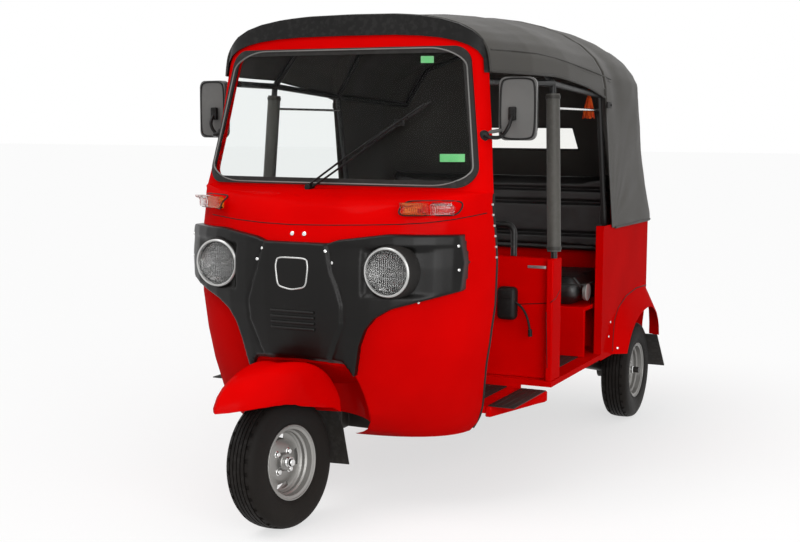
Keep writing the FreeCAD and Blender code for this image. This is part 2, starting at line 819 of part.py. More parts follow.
def mudguard_section(share, inset, drop):
    # Side outline at this share of the half width
    bow = (1.0 - share ** 1.55) ** (1.0 / 1.55)
    front = mudguard_root_y - (mudguard_root_y - mudguard_tip_y - inset) * bow
    back = mudguard_tail_y - inset
    edge = min(max(share - 0.57, 0.0) / 0.43, 1.0)
    fall = inset + mudguard_shoulder * (1.0 - math.sqrt(1.0 - edge * edge))
    x = share * (mudguard_half_width - inset)
    top = [V(0, front + (back - front) * s, z - fall * min(1.0, 8.0 * s, 8.0 * (1.0 - s))) for s, z in crown_rows]
    low = [V(0, front + (back - front) * s, z - drop) for s, z in reversed(skirt_rows)]
    pts = chords(top, arch_steps) + low
    return [p + V(x, 0, 0) for p in pts], [p - V(x, 0, 0) for p in pts]


def mudguard_solid(inset, drop):
    shares = (1.0, 0.96, 0.88, 0.75, 0.57, 0.28)
    rows = [mudguard_section(s, inset, drop) for s in shares]
    middle, _ = mudguard_section(0.0, inset, drop)
    return joined([left for left, right in rows] + [middle] + [right for left, right in reversed(rows)])


def front_mudguard():
    return mudguard_solid(0.0, 0.0).cut(mudguard_solid(mudguard_sheet, 30.0)).cut(steer_rod(490, 560, 26.0))


def front_mud_flap():
    y = mudguard_tail_y + 0.3
    line = [(y, 366.0), (y, 333.0), (y + 22.0, 280.0), (y + 42.0, 150.0)]
    pts = line + [(a + 4.0, z) for a, z in reversed(line)]
    return prism(pts, "x", -82, 82)


# Wheels

def tyre(hub):
    w, r, b = tyre_half_width, tyre_radius, bead_radius
    seat = rim_half_width - 4.3
    half = [(30.0, b), (seat, b), (seat + 4.0, rim_flange_radius), (w, 154.0), (w - 3, 186.0), (34.0, r)]
    hollow = [(-34.0, 190.0), (34.0, 190.0)]
    return turned(half + [(-a, q) for a, q in reversed(half)] + hollow, hub, wheel_sides)


def rim(hub, face):
    # face is +1 where the dished side looks to +X
    b, f, h, w = bead_radius, rim_flange_radius, hub_radius, rim_half_width
    core = 0.5 * axle_radius
    band = [(-w, f), (4 - w, b), (-20.0, b), (-16.0, b - 14), (16.0, b - 14), (20.0, b), (w - 4, b), (w, f)]
    dish = [(w, b - 4), (22.0, b - 4), (18.0, b - 18), (12.0, b - 18), (34.0, 44.0), (40.0, h), (40.0, core)]
    drum = [(-40.0, core), (-34.0, drum_radius), (-6.0, drum_radius), (0.0, h), (30.0, h + 8), (6.0, b - 18),
            (-18.0, b - 18), (-w, b - 4)]
    body = turned([(a * face, q) for a, q in band + dish + drum], hub, wheel_sides)
    x, y, z = hub
    return body.cut(rod((x - 60, y, z), (x + 60, y, z), axle_radius + running_gap))


# A turned wheel leans, so its axle is at the height where the tyre still stands on the ground
front_axle_height = 2 * tyre_radius - at_rest(tyre((0.0, front_axle_y, tyre_radius))).BoundBox.ZMin - tyre_radius
front_hub = (0.0, front_axle_y, front_axle_height)
left_hub = (half_track, rear_axle_y, tyre_radius)
right_hub = (-half_track, rear_axle_y, tyre_radius)


def save(name, shape):
    solids = shape.Solids
    whole = solids[0] if len(solids) == 1 else Part.makeCompound(solids)
    whole.exportStep("parts/" + name + ".step")
    b = whole.BoundBox
    print("%-24s solids %d valid %s vol %.0f  x %.0f %.0f  y %.0f %.0f  z %.0f %.0f" % (
        name, len(solids), whole.isValid(), whole.Volume, b.XMin, b.XMax, b.YMin, b.YMax, b.ZMin, b.ZMax))


def body_nodes():
    save("front_cowl", front_cowl())
    save("windscreen_frame", windscreen_frame())
    save("windscreen_seal", windscreen_seal())
    save("windscreen_glass", windscreen_glass())
    save("front_bezel", front_bezel())
    save("headlamps", headlamps())
    save("indicators", indicators())
    save("wiper", wiper())
    save("roof_visor", roof_visor())
    save("mirrors", mirrors())
    save("instrument_panel", instrument_panel())
    save("wheel_housing", wheel_housing())
    save("floor_pan", floor_pan())
    save("side_steps", side_steps())
    save("floor_mats", floor_mats())
    save("chassis_frame", chassis_frame())
    save("partition", partition())
    save("driver_seat_base", driver_seat_base())
    save("driver_cushion", driver_cushion())
    save("driver_backrest", driver_backrest())
    save("passenger_seat_base", passenger_seat_base())
    save("passenger_cushion", passenger_cushion())
    save("passenger_backrest", passenger_backrest())
    save("quarter_panels", both(left_quarter()))
    save("rear_mudguards", rear_mudguards())
    save("rear_panel", rear_panel())
    save("engine_door", engine_door())
    save("mud_flaps", mud_flaps())
    save("tail_lamps", tail_lamps())
    save("rear_bumper", rear_bumper())
    save("number_plate", number_plate())
    save("engine", engine())
    save("exhaust", exhaust())
    save("rear_suspension", rear_suspension())


def top_nodes():
    save("roof_frame", roof_frame())
    save("pillar_pads", pillar_pads())
    save("grab_rail", grab_rails())
    skin = soft_top()
    above = box(-900, 900, -900, 404, 1000, 2000).fuse(box(-900, 900, 404, 1400, 1400, 2000))
    save("canopy_roof", skin.common(above))
    save("canopy_back", skin.cut(above).cut(window_hole()))
    save("rear_window", skin.common(window_hole()))


def moving_nodes():
    save("steering_column", at_rest(steering_column()))
    save("handlebar", at_rest(handlebar()))
    save("handlebar_grips", at_rest(grips()))
    save("front_mudguard", at_rest(front_mudguard()))
    save("front_mud_flap", at_rest(front_mud_flap()))
    save("front_tyre", at_rest(tyre(front_hub)))
    save("front_rim", at_rest(rim(front_hub, -1)))
    save("rear_left_tyre", tyre(left_hub))
    save("rear_left_rim", rim(left_hub, 1))
    save("rear_right_tyre", tyre(right_hub))
    save("rear_right_rim", rim(right_hub, -1))


body_nodes()
top_nodes()
moving_nodes()
print("front axle height", front_axle_height)
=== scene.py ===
import json
import math

import bmesh
import bpy
from mathutils import Matrix, Vector, noise as perlin
from mathutils.bvhtree import BVHTree


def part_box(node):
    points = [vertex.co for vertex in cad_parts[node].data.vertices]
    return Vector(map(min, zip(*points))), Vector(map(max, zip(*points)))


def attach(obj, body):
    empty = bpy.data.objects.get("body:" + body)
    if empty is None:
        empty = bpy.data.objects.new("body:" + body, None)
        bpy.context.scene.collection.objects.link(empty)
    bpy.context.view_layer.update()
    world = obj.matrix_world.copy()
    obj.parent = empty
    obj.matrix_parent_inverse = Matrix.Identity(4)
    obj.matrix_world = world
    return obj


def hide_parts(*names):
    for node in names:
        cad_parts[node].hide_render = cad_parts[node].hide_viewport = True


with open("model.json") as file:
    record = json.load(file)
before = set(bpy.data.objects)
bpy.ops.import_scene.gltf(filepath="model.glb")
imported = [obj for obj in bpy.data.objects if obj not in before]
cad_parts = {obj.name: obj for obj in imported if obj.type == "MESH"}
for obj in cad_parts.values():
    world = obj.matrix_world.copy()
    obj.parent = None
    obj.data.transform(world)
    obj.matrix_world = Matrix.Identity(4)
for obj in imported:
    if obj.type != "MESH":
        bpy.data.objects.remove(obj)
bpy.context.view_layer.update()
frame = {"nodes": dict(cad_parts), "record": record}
scene = bpy.context.scene
nodes = frame["nodes"]
bodyOf = {name: body for body, names in frame["record"]["behaviour"]["bodies"].items() for name in names}
slotOf = {part["node"]: part["material_slot"] for part in frame["record"]["subparts"]}
print("frame loaded:", len(nodes), "nodes")

# Camera, floor and light
view = {"place": (1.99712, -4.38922, 1.25194), "yaw": 25.363, "pitch": 6.501, "roll": 0.258, "lens": 57.33,
        "sensor": 36.0, "picture": (800.0, 542.0)}
stage = {"floorSize": 60.0, "floorShade": 0.35, "shadowShare": 0.36, "skyLight": 0.60, "sunPower": 1.1,
         "sunSpread": 34.0, "sunAim": (0.42, 0.62, -1.25), "fillPower": 128.0, "fillSize": 3.2,
         "fillPlace": (3.5, -4.1, 1.6), "fillAim": (0.0, -0.4, 0.8)}
white = (1.0, 1.0, 1.0, 1.0)


def linkObject(name, data):
    thing = bpy.data.objects.new(name, data)
    scene.collection.objects.link(thing)
    return thing


def meshFrom(bm, name):
    mesh = bpy.data.meshes.new(name)
    bm.to_mesh(mesh)
    bm.free()
    return mesh


def bmeshFrom(mesh):
    # Takes over a mesh that nothing else needs
    bm = bmesh.new()
    bm.from_mesh(mesh)
    bpy.data.meshes.remove(mesh)
    return bm


def turned(axis, degrees):
    return Matrix.Rotation(math.radians(degrees), 4, axis)


def addCamera():
    yaw, pitch, roll = (math.radians(view[key]) for key in ("yaw", "pitch", "roll"))
    ahead = Vector((-math.sin(yaw) * math.cos(pitch), math.cos(yaw) * math.cos(pitch), -math.sin(pitch)))
    right = Vector((math.cos(yaw), math.sin(yaw), 0.0))
    up = right.cross(ahead)
    side = right * math.cos(roll) + up * math.sin(roll)
    top = up * math.cos(roll) - right * math.sin(roll)
    data = bpy.data.cameras.new("photoCamera")
    data.lens = view["lens"]
    data.sensor_width = view["sensor"]
    camera = linkObject("photoCamera", data)
    turn = Matrix((side, top, -ahead)).transposed()
    camera.matrix_world = Matrix.Translation(view["place"]) @ turn.to_4x4()
    scene.camera = camera


def shownAs(tree, lighting, seen, target):
    # One shader lights the scene; camera, mirror and glass rays see the other
    path = tree.nodes.new("ShaderNodeLightPath")
    first = calc(tree, "MAXIMUM", path.outputs["Is Camera Ray"], path.outputs["Is Glossy Ray"])
    mix = tree.nodes.new("ShaderNodeMixShader")
    wire(tree, calc(tree, "MAXIMUM", first, path.outputs["Is Transmission Ray"]), mix.inputs["Fac"])
    wire(tree, lighting.outputs[0], mix.inputs[1])
    wire(tree, seen.outputs[0], mix.inputs[2])
    wire(tree, mix.outputs[0], tree.nodes.new(target).inputs["Surface"])


def addWorld():
    world = bpy.data.worlds.new("studio")
    scene.world = world
    world.use_nodes = True
    tree = world.node_tree
    tree.nodes.clear()
    lightSky = addNode(tree, "ShaderNodeBackground", {"Color": white, "Strength": stage["skyLight"]})
    whiteSky = addNode(tree, "ShaderNodeBackground", {"Color": white, "Strength": 1.0})
    shownAs(tree, lightSky, whiteSky, "ShaderNodeOutputWorld")


def addFloor():
    bm = bmesh.new()
    bmesh.ops.create_grid(bm, x_segments=1, y_segments=1, size=stage["floorSize"])
    floor = linkObject("studioFloor", meshFrom(bm, "studioFloor"))
    material = bpy.data.materials.new("studioFloor")
    material.use_nodes = True
    tree = material.node_tree
    tree.nodes.clear()
    shade = addNode(tree, "ShaderNodeBsdfDiffuse", {"Color": (stage["floorShade"],) * 3 + (1.0,)})
    lit = addNode(tree, "ShaderNodeBsdfDiffuse", {"Color": white})
    glow = addNode(tree, "ShaderNodeEmission", {"Strength": 1.0})
    pale = addNode(tree, "ShaderNodeMixShader", {"Fac": stage["shadowShare"]})
    wire(tree, glow.outputs[0], pale.inputs[1])
    wire(tree, lit.outputs[0], pale.inputs[2])
    shownAs(tree, shade, pale, "ShaderNodeOutputMaterial")
    floor.data.materials.append(material)


def addLights():
    sun = bpy.data.lights.new("softSun", "SUN")
    sun.energy = stage["sunPower"]
    sun.angle = math.radians(stage["sunSpread"])
    lamp = linkObject("softSun", sun)
    lamp.rotation_euler = Vector(stage["sunAim"]).to_track_quat("-Z", "Y").to_euler()
    fill = bpy.data.lights.new("fillPanel", "AREA")
    fill.energy = stage["fillPower"]
    fill.size = stage["fillSize"]
    panel = linkObject("fillPanel", fill)
    panel.location = stage["fillPlace"]
    aim = Vector(stage["fillAim"]) - panel.location
    panel.rotation_euler = aim.to_track_quat("-Z", "Y").to_euler()


# Shader helpers

def wire(tree, value, socket):
    # A number goes on the socket itself, another node's output is linked
    if isinstance(value, bpy.types.NodeSocket):
        tree.links.new(value, socket)
    else:
        socket.default_value = value


def addNode(tree, kind, values):
    # A node with its numbers and colours on its own sockets
    node = tree.nodes.new(kind)
    for label, value in values.items():
        node.inputs[label].default_value = value
    return node


def calc(tree, operation, first, second=0.0):
    node = tree.nodes.new("ShaderNodeMath")
    node.operation = operation
    wire(tree, first, node.inputs[0])
    wire(tree, second, node.inputs[1])
    return node.outputs[0]


def spanned(tree, value, low, high, start=0.0, stop=1.0):
    # value from low..high to start..stop, held at both ends
    node = addNode(tree, "ShaderNodeMapRange", {1: low, 2: high, 3: start, 4: stop})
    wire(tree, value, node.inputs[0])
    return node.outputs[0]


def objectPoint(tree):
    return tree.nodes.new("ShaderNodeTexCoord").outputs["Object"]


def noise(tree, point, scale, detail):
    node = addNode(tree, "ShaderNodeTexNoise", {"Detail": detail})
    wire(tree, scale, node.inputs["Scale"])
    wire(tree, point, node.inputs["Vector"])
    return node.outputs["Fac"]


def split(tree, point):
    node = tree.nodes.new("ShaderNodeSeparateXYZ")
    wire(tree, point, node.inputs[0])
    return node.outputs


def makeGroup(name, sockets, results):
    group = bpy.data.node_groups.new(name, "ShaderNodeTree")
    for label, value in sockets.items():
        group.interface.new_socket(label, in_out="INPUT", socket_type="NodeSocketFloat").default_value = value
    for label in results:
        group.interface.new_socket(label, in_out="OUTPUT", socket_type="NodeSocketFloat")
    return group, group.nodes.new("NodeGroupInput").outputs, group.nodes.new("NodeGroupOutput").inputs


def makeGrainGroup():
    # Cells like leather or moulded plastic, over a fine noise
    group, given, out = makeGroup("mouldedGrain", {"cellScale": 600.0, "toneScale": 3.0}, ("tone", "height"))
    point = objectPoint(group)
    cells = group.nodes.new("ShaderNodeTexVoronoi")
    cells.feature = "DISTANCE_TO_EDGE"
    wire(group, point, cells.inputs["Vector"])
    wire(group, given["cellScale"], cells.inputs["Scale"])
    fine = noise(group, point, calc(group, "MULTIPLY", given["cellScale"], 0.6), 2.0)
    ridge = spanned(group, cells.outputs["Distance"], 0.0, 0.25)
    height = calc(group, "ADD", calc(group, "MULTIPLY", ridge, 0.7), calc(group, "MULTIPLY", fine, 0.3))
    wire(group, height, out["height"])
    wire(group, spanned(group, noise(group, point, given["toneScale"], 5.0), 0.3, 0.7), out["tone"])
    return group


def makeWearGroup():
    # Road dust that thickens towards the ground, and bare wear along the edges
    group, given, out = makeGroup("roadWear", {"dustTop": 0.5, "dustMost": 0.35, "wearMost": 0.3},
                                  ("dust", "wear"))
    point = objectPoint(group)
    low = calc(group, "SUBTRACT", 1.0, calc(group, "DIVIDE", split(group, point)["Z"], given["dustTop"]))
    patchy = spanned(group, noise(group, point, 14.0, 6.0), 0.35, 0.7, 0.25, 1.0)
    dust = calc(group, "MULTIPLY", calc(group, "MAXIMUM", low, 0.0), patchy)
    wire(group, calc(group, "MULTIPLY", dust, given["dustMost"]), out["dust"])
    edge = spanned(group, group.nodes.new("ShaderNodeNewGeometry").outputs["Pointiness"], 0.53, 0.62)
    worn = spanned(group, noise(group, point, 60.0, 6.0), 0.48, 0.62)
    wire(group, calc(group, "MULTIPLY", calc(group, "MULTIPLY", edge, worn), given["wearMost"]), out["wear"])
    return group


def makeWeaveGroup():
    # Crossed threads on the piece's own UV map, in metres
    group, given, out = makeGroup("plainWeave", {"threads": 1400.0}, ("tone", "height"))
    coord = group.nodes.new("ShaderNodeTexCoord").outputs["UV"]
    across = split(group, coord)
    waves = [calc(group, "SINE", calc(group, "MULTIPLY", across[axis], given["threads"]))
             for axis in ("X", "Y")]
    wire(group, spanned(group, calc(group, "MULTIPLY", *waves), -1.0, 1.0), out["height"])
    wire(group, spanned(group, noise(group, coord, 5.0, 6.0), 0.3, 0.7), out["tone"])
    return group


groups = {"grain": makeGrainGroup(), "wear": makeWearGroup(), "weave": makeWeaveGroup()}


def useGroup(tree, name, values):
    node = tree.nodes.new("ShaderNodeGroup")
    node.node_tree = groups[name]
    for label, value in values.items():
        node.inputs[label].default_value = value
    return node.outputs


def blendColour(tree, share, first, second):
    node = tree.nodes.new("ShaderNodeMix")
    node.data_type = "RGBA"
    wire(tree, share, node.inputs["Factor"])
    for value, label in ((first, 6), (second, 7)):
        wire(tree, value if isinstance(value, bpy.types.NodeSocket) else tuple(value) + (1.0,),
             node.inputs[label])
    return node.outputs[2]


# Each finish: two tones, roughness range, grain cells per metre, bump depth in metres, and what isn't as usual
usual = {"toneScale": 4.0, "dust": 0.0, "wear": 0.0, "dustTop": 0.5, "metallic": 0.0, "coat": 0.0,
         "specular": 0.5}
finishes = {
    "redPaint": {"tones": ((0.60, 0.0004, 0.0004), (0.70, 0.0006, 0.0006)), "rough": (0.26, 0.36),
                 "cells": 900.0, "bump": 0.00002, "coat": 0.03, "specular": 0.0, "dust": 0.02},
    "satinBlack": {"tones": ((0.0020, 0.0017, 0.0015), (0.0044, 0.0039, 0.0036)), "rough": (0.28, 0.40),
                   "cells": 1500.0, "bump": 0.00006, "specular": 0.2, "dust": 0.03, "wear": 0.05,
                   "dustTop": 0.9},
    "mouldedBlack": {"tones": ((0.006, 0.006, 0.006), (0.012, 0.0115, 0.011)), "rough": (0.45, 0.6),
                     "cells": 1200.0, "bump": 0.0001, "specular": 0.2, "dust": 0.04, "wear": 0.03,
                     "dustTop": 0.9},
    "blackRubber": {"tones": ((0.006, 0.0055, 0.005), (0.014, 0.012, 0.011)), "rough": (0.5, 0.7),
                    "cells": 700.0, "bump": 0.00015, "specular": 0.25, "dust": 0.12, "wear": 0.04},
    "tyreRubber": {"tones": ((0.005, 0.0042, 0.0038), (0.012, 0.010, 0.0088)), "rough": (0.5, 0.72),
                   "cells": 1000.0, "bump": 0.0002, "specular": 0.12, "dust": 0.04, "wear": 0.06,
                   "dustTop": 0.3},
    "silverPaint": {"tones": ((0.24, 0.235, 0.225), (0.36, 0.355, 0.34)), "rough": (0.3, 0.46),
                    "cells": 800.0, "bump": 0.00008, "metallic": 0.6, "dust": 0.12, "wear": 0.1,
                    "dustTop": 0.4},
    "satinSilver": {"tones": ((0.42, 0.42, 0.41), (0.56, 0.56, 0.55)), "rough": (0.26, 0.36), "cells": 700.0,
                    "bump": 0.00004, "metallic": 0.7, "wear": 0.1},
    "mirrorShell": {"tones": ((0.085, 0.083, 0.080), (0.13, 0.128, 0.122)), "rough": (0.3, 0.42),
                    "cells": 900.0, "bump": 0.00006, "specular": 0.45, "wear": 0.05},
    "mirrorFace": {"tones": ((0.74, 0.75, 0.75), (0.8, 0.81, 0.81)), "rough": (0.02, 0.05), "cells": 300.0,
                   "bump": 0.000002, "metallic": 1.0},
    "lampMirror": {"tones": ((0.26, 0.26, 0.255), (0.36, 0.36, 0.355)), "rough": (0.08, 0.16), "cells": 200.0,
                   "bump": 0.0008, "metallic": 1.0},
    "blackSteel": {"tones": ((0.006, 0.006, 0.006), (0.013, 0.0125, 0.012)), "rough": (0.32, 0.5),
                   "cells": 500.0, "bump": 0.00012, "specular": 0.3, "dust": 0.25, "wear": 0.2,
                   "dustTop": 0.6},
    # Near-black red, painted as the shade that falls in grooves and joins of the red panels
    "paintedGrooveShade": {"tones": ((0.008, 0.002, 0.002), (0.014, 0.004, 0.004)), "rough": (0.6, 0.75),
                  "cells": 700.0, "bump": 0.00005, "specular": 0.2},
    # Grey, painted on the black rubber seal as its highlight
    "sealHighlightGrey": {"tones": ((0.13, 0.128, 0.12), (0.20, 0.197, 0.19)), "rough": (0.28, 0.4), "cells": 900.0,
                 "bump": 0.00006, "specular": 0.45, "wear": 0.05},
    "topPiping": {"tones": ((0.022, 0.020, 0.017), (0.036, 0.034, 0.029)), "rough": (0.45, 0.62),
                  "cells": 1300.0, "bump": 0.00015, "specular": 0.3, "wear": 0.08},
    "seatVinyl": {"tones": ((0.007, 0.0065, 0.006), (0.014, 0.0135, 0.013)), "rough": (0.30, 0.44),
                  "cells": 420.0, "bump": 0.00035, "specular": 0.7, "wear": 0.04},
    "greyVinyl": {"tones": ((0.060, 0.057, 0.050), (0.088, 0.084, 0.075)), "rough": (0.42, 0.58),
                  "cells": 420.0, "bump": 0.0003, "specular": 0.3, "wear": 0.05},
    "castMetal": {"tones": ((0.10, 0.098, 0.09), (0.22, 0.215, 0.20)), "rough": (0.5, 0.75), "cells": 260.0,
                  "bump": 0.0006, "metallic": 0.8, "dust": 0.4, "wear": 0.3, "dustTop": 0.7},
    "brightMetal": {"tones": ((0.62, 0.62, 0.61), (0.8, 0.8, 0.79)), "rough": (0.1, 0.22), "cells": 500.0,
                    "bump": 0.00003, "metallic": 1.0, "dust": 0.06},
    "platePaint": {"tones": ((0.6, 0.6, 0.57), (0.72, 0.72, 0.69)), "rough": (0.35, 0.5), "cells": 300.0,
                   "bump": 0.00005, "dust": 0.3, "wear": 0.2, "dustTop": 1.2},
    "tasselThread": {"tones": ((0.55, 0.02, 0.005), (0.75, 0.12, 0.01)), "rough": (0.6, 0.8), "cells": 900.0,
                     "bump": 0.0004, "specular": 0.2, "toneScale": 60.0},
    "greenFilm": {"tones": ((0.05, 0.36, 0.10), (0.16, 0.55, 0.20)), "rough": (0.3, 0.45), "cells": 260.0,
                  "bump": 0.00006, "wear": 0.3},
}
dustColour = (0.20, 0.165, 0.13)
bareMetal = (0.32, 0.31, 0.30)


def newMaterial(name):
    material = bpy.data.materials.new(name)
    material.use_nodes = True
    return material, material.node_tree, material.node_tree.nodes["Principled BSDF"]


def addBump(tree, shader, height, strength, depth):
    bump = addNode(tree, "ShaderNodeBump", {"Strength": strength, "Distance": depth})
    wire(tree, height, bump.inputs["Height"])
    wire(tree, bump.outputs["Normal"], shader.inputs["Normal"])


def makeFinish(name, own):
    values = {**usual, **own}
    material, tree, shader = newMaterial(name)
    grain = useGroup(tree, "grain", {"cellScale": values["cells"], "toneScale": values["toneScale"]})
    marks = useGroup(tree, "wear", {"dustTop": values["dustTop"], "dustMost": values["dust"],
                                    "wearMost": values["wear"]})
    colour = blendColour(tree, grain["tone"], *values["tones"])
    colour = blendColour(tree, marks["wear"], colour, bareMetal)
    colour = blendColour(tree, marks["dust"], colour, dustColour)
    wire(tree, colour, shader.inputs["Base Color"])
    rough = spanned(tree, grain["tone"], 0.0, 1.0, *values["rough"])
    wire(tree, calc(tree, "ADD", rough, calc(tree, "MULTIPLY", marks["dust"], 0.5)),
         shader.inputs["Roughness"])
    addBump(tree, shader, grain["height"], 0.6, values["bump"])
    shader.inputs["Metallic"].default_value = values["metallic"]
    shader.inputs["Coat Weight"].default_value = values["coat"]
    shader.inputs["Coat Roughness"].default_value = 0.12
    shader.inputs["Specular IOR Level"].default_value = values["specular"]
    return material


canvas = {"threads": 1500.0, "tones": ((0.040, 0.0365, 0.032), (0.060, 0.056, 0.049)), "rough": (0.55, 0.72),
          "bump": 0.0003, "specular": 0.3, "sheen": 0.08}


def makeCanvas(name):
    # Coated canvas: fine weave, soft sheen, patchy fading
    material, tree, shader = newMaterial(name)
    weave = useGroup(tree, "weave", {"threads": canvas["threads"]})
    wire(tree, blendColour(tree, weave["tone"], *canvas["tones"]), shader.inputs["Base Color"])
    wire(tree, spanned(tree, weave["tone"], 0.0, 1.0, *canvas["rough"]), shader.inputs["Roughness"])
    addBump(tree, shader, weave["height"], 0.5, canvas["bump"])
    shader.inputs["Specular IOR Level"].default_value = canvas["specular"]
    shader.inputs["Sheen Weight"].default_value = canvas["sheen"]
    return material


# Each glass: tint, roughness, refraction and flutes per metre
glasses = {
    "screenGlass": ((0.86, 0.89, 0.88), 0.0, 1.12, 0.0),
    "clearVinyl": ((0.90, 0.90, 0.87), 0.04, 1.15, 0.0),
    "lampGlass": ((0.93, 0.93, 0.93), 0.02, 1.35, 900.0),
    "clearLens": ((0.9, 0.88, 0.86), 0.05, 1.35, 1100.0),
    "amberLens": ((0.85, 0.22, 0.02), 0.05, 1.35, 1100.0),
    "redLens": ((0.75, 0.01, 0.01), 0.05, 1.35, 1100.0),
}


def makeGlass(name, tint, rough, index, flutes):
    material, tree, shader = newMaterial(name)
    point = objectPoint(tree)
    smear = spanned(tree, noise(tree, point, 9.0, 6.0), 0.35, 0.75, rough, rough + 0.05)
    wire(tree, smear, shader.inputs["Roughness"])
    shader.inputs["Base Color"].default_value = tuple(tint) + (1.0,)
    shader.inputs["IOR"].default_value = index
    shader.inputs["Transmission Weight"].default_value = 1.0
    if flutes:
        across = split(tree, point)
        ribs = calc(tree, "SINE", calc(tree, "MULTIPLY", across["X"], flutes))
        rows = calc(tree, "SINE", calc(tree, "MULTIPLY", across["Z"], flutes * 0.35))
        addBump(tree, shader, calc(tree, "ADD", ribs, calc(tree, "MULTIPLY", rows, 0.6)), 0.8, 0.0015)
    return material


materials = {name: makeFinish(name, values) for name, values in finishes.items()}
materials["canopyCanvas"] = makeCanvas("canopyCanvas")
materials.update({name: makeGlass(name, *values) for name, values in glasses.items()})
addCamera()
addWorld()
addFloor()
addLights()
print("materials and stage ready:", len(materials))


# Mesh helpers

def addPiece(name, bm, finish, slotName=None, body="body", angle=38.0, cadNodes=()):
    limit = math.radians(angle)
    for face in bm.faces:
        face.smooth = True
    for edge in bm.edges:
        edge.smooth = len(edge.link_faces) == 2 and edge.calc_face_angle(0.0) < limit
    piece = linkObject(name, meshFrom(bm, name))
    piece.data.materials.append(materials[finish])
    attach(piece, body)
    if cadNodes:
        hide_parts(*cadNodes)
        slotName = slotName or slotOf[cadNodes[0]]
    return piece


def nodeMesh(node):
    # A merged copy of a CAD node
    bm = bmesh.new()
    bm.from_mesh(nodes[node].data)
    bmesh.ops.remove_doubles(bm, verts=bm.verts, dist=0.00002)
    return bm


def dressNode(node, finish, bevel=0.0, angle=34.0):
    # The CAD shape with merged facets, smooth shading and softened edges
    bm = nodeMesh(node)
    bmesh.ops.dissolve_limit(bm, angle_limit=math.radians(0.4), verts=bm.verts, edges=bm.edges)
    piece = addPiece(node + "Skin", bm, finish, slotOf[node], bodyOf[node], angle, (node,))
    if bevel:
        soft = piece.modifiers.new("softEdges", "BEVEL")
        soft.width = bevel
        soft.segments = 2
        soft.limit_method = "ANGLE"
        soft.angle_limit = math.radians(angle)
    return piece


def treeOf(bm):
    # A ray target of the mesh, which goes
    tree = BVHTree.FromBMesh(bm)
    bm.free()
    return tree


def clipSurfaces(*names):
    # One ray target from several CAD nodes
    bm = bmesh.new()
    for name in names:
        bm.from_mesh(nodes[name].data)
    return treeOf(bm)


def nextTo(surface, start, aim):
    # Where a ray from start along aim first meets the surface, and the surface's direction there
    for shift in (0.0, 0.0007, -0.0007, 0.0016):
        nudge = Vector((shift, shift * 0.6, shift * 0.8))
        place, normal = surface.ray_cast(Vector(start) + nudge, Vector(aim).normalized())[:2]
        if place:
            return place, normal
    return None, None


def tidied(bm):
    # Joins doubles, drops stray edges and turns every face outwards
    bmesh.ops.remove_doubles(bm, verts=bm.verts, dist=0.00001)
    bmesh.ops.delete(bm, geom=[edge for edge in bm.edges if not edge.link_faces], context="EDGES")
    bmesh.ops.recalc_face_normals(bm, faces=bm.faces)
    return bm


def spun(profile, steps=96):
    # A turned solid about X from a closed outline of (along, radius) points
    bm = bmesh.new()
    verts = [bm.verts.new((along, 0.0, radius)) for along, radius in profile]
    edges = [bm.edges.new(pair) for pair in zip(verts, verts[1:] + verts[:1])]
    bmesh.ops.spin(bm, geom=verts + edges, cent=(0.0, 0.0, 0.0), axis=(1.0, 0.0, 0.0), angle=2.0 * math.pi,
                   steps=steps, use_merge=True)
    return tidied(bm)


def placed(bm, matrix):
    bmesh.ops.transform(bm, matrix=matrix, verts=bm.verts)
    return bm


def aimed(place, direction):
    # Turns a piece made along X to a direction and puts it in place
    return Matrix.Translation(place) @ Vector(direction).to_track_quat("X", "Z").to_matrix().to_4x4()


def together(parts):
    whole = bmesh.new()
    for part in parts:
        mesh = meshFrom(part, "part")
        whole.from_mesh(mesh)
        bpy.data.meshes.remove(mesh)
    return whole


def withTwin(bm):
    # Adds the right-hand twin of a left-hand piece
    twin = bm.copy()
    bmesh.ops.scale(twin, vec=(-1.0, 1.0, 1.0), verts=twin.verts)
    bmesh.ops.reverse_faces(twin, faces=twin.faces)
    return together((bm, twin))


def bar(points, radius, smooth=True, cyclic=False, fineness=3):
    # A round bar, seam or piping along the points
    curve = bpy.data.curves.new("bar", "CURVE")
    curve.dimensions = "3D"
    curve.bevel_depth = radius
    curve.bevel_resolution = fineness
    curve.use_fill_caps = True
    line = curve.splines.new("NURBS" if smooth else "POLY")
    line.points.add(len(points) - 1)
    for point, place in zip(line.points, points):
        point.co = (*place, 1.0)
    line.use_cyclic_u = cyclic
    line.order_u = 3
    line.use_endpoint_u = not cyclic
    line.resolution_u = 6
    thing = linkObject("bar", curve)
    bm = bmeshFrom(bpy.data.meshes.new_from_object(thing))
    bpy.data.objects.remove(thing)
    bpy.data.curves.remove(curve)
    return tidied(bm)


def block(low, high, edge=0.002, segments=2):
    # A box with rounded edges
    bm = bmesh.new()
    bmesh.ops.create_cube(bm, size=1.0)
    low, high = Vector(low), Vector(high)
    bmesh.ops.scale(bm, vec=high - low, verts=bm.verts)
    bmesh.ops.translate(bm, vec=(low + high) / 2.0, verts=bm.verts)
    bmesh.ops.bevel(bm, geom=bm.edges[:], offset=edge, offset_type="OFFSET", affect="EDGES",
                    segments=segments, profile=0.5, material=-1)
    return bm


def studHead(place, direction, radius, steps=16):
    profile = [(-radius, 0.0), (-radius, radius * 0.9), (0.0, radius), (radius * 0.3, radius * 0.9),
               (radius * 0.5, radius * 0.55), (radius * 0.55, 0.0)]
    return placed(spun(profile, steps), aimed(place, direction))


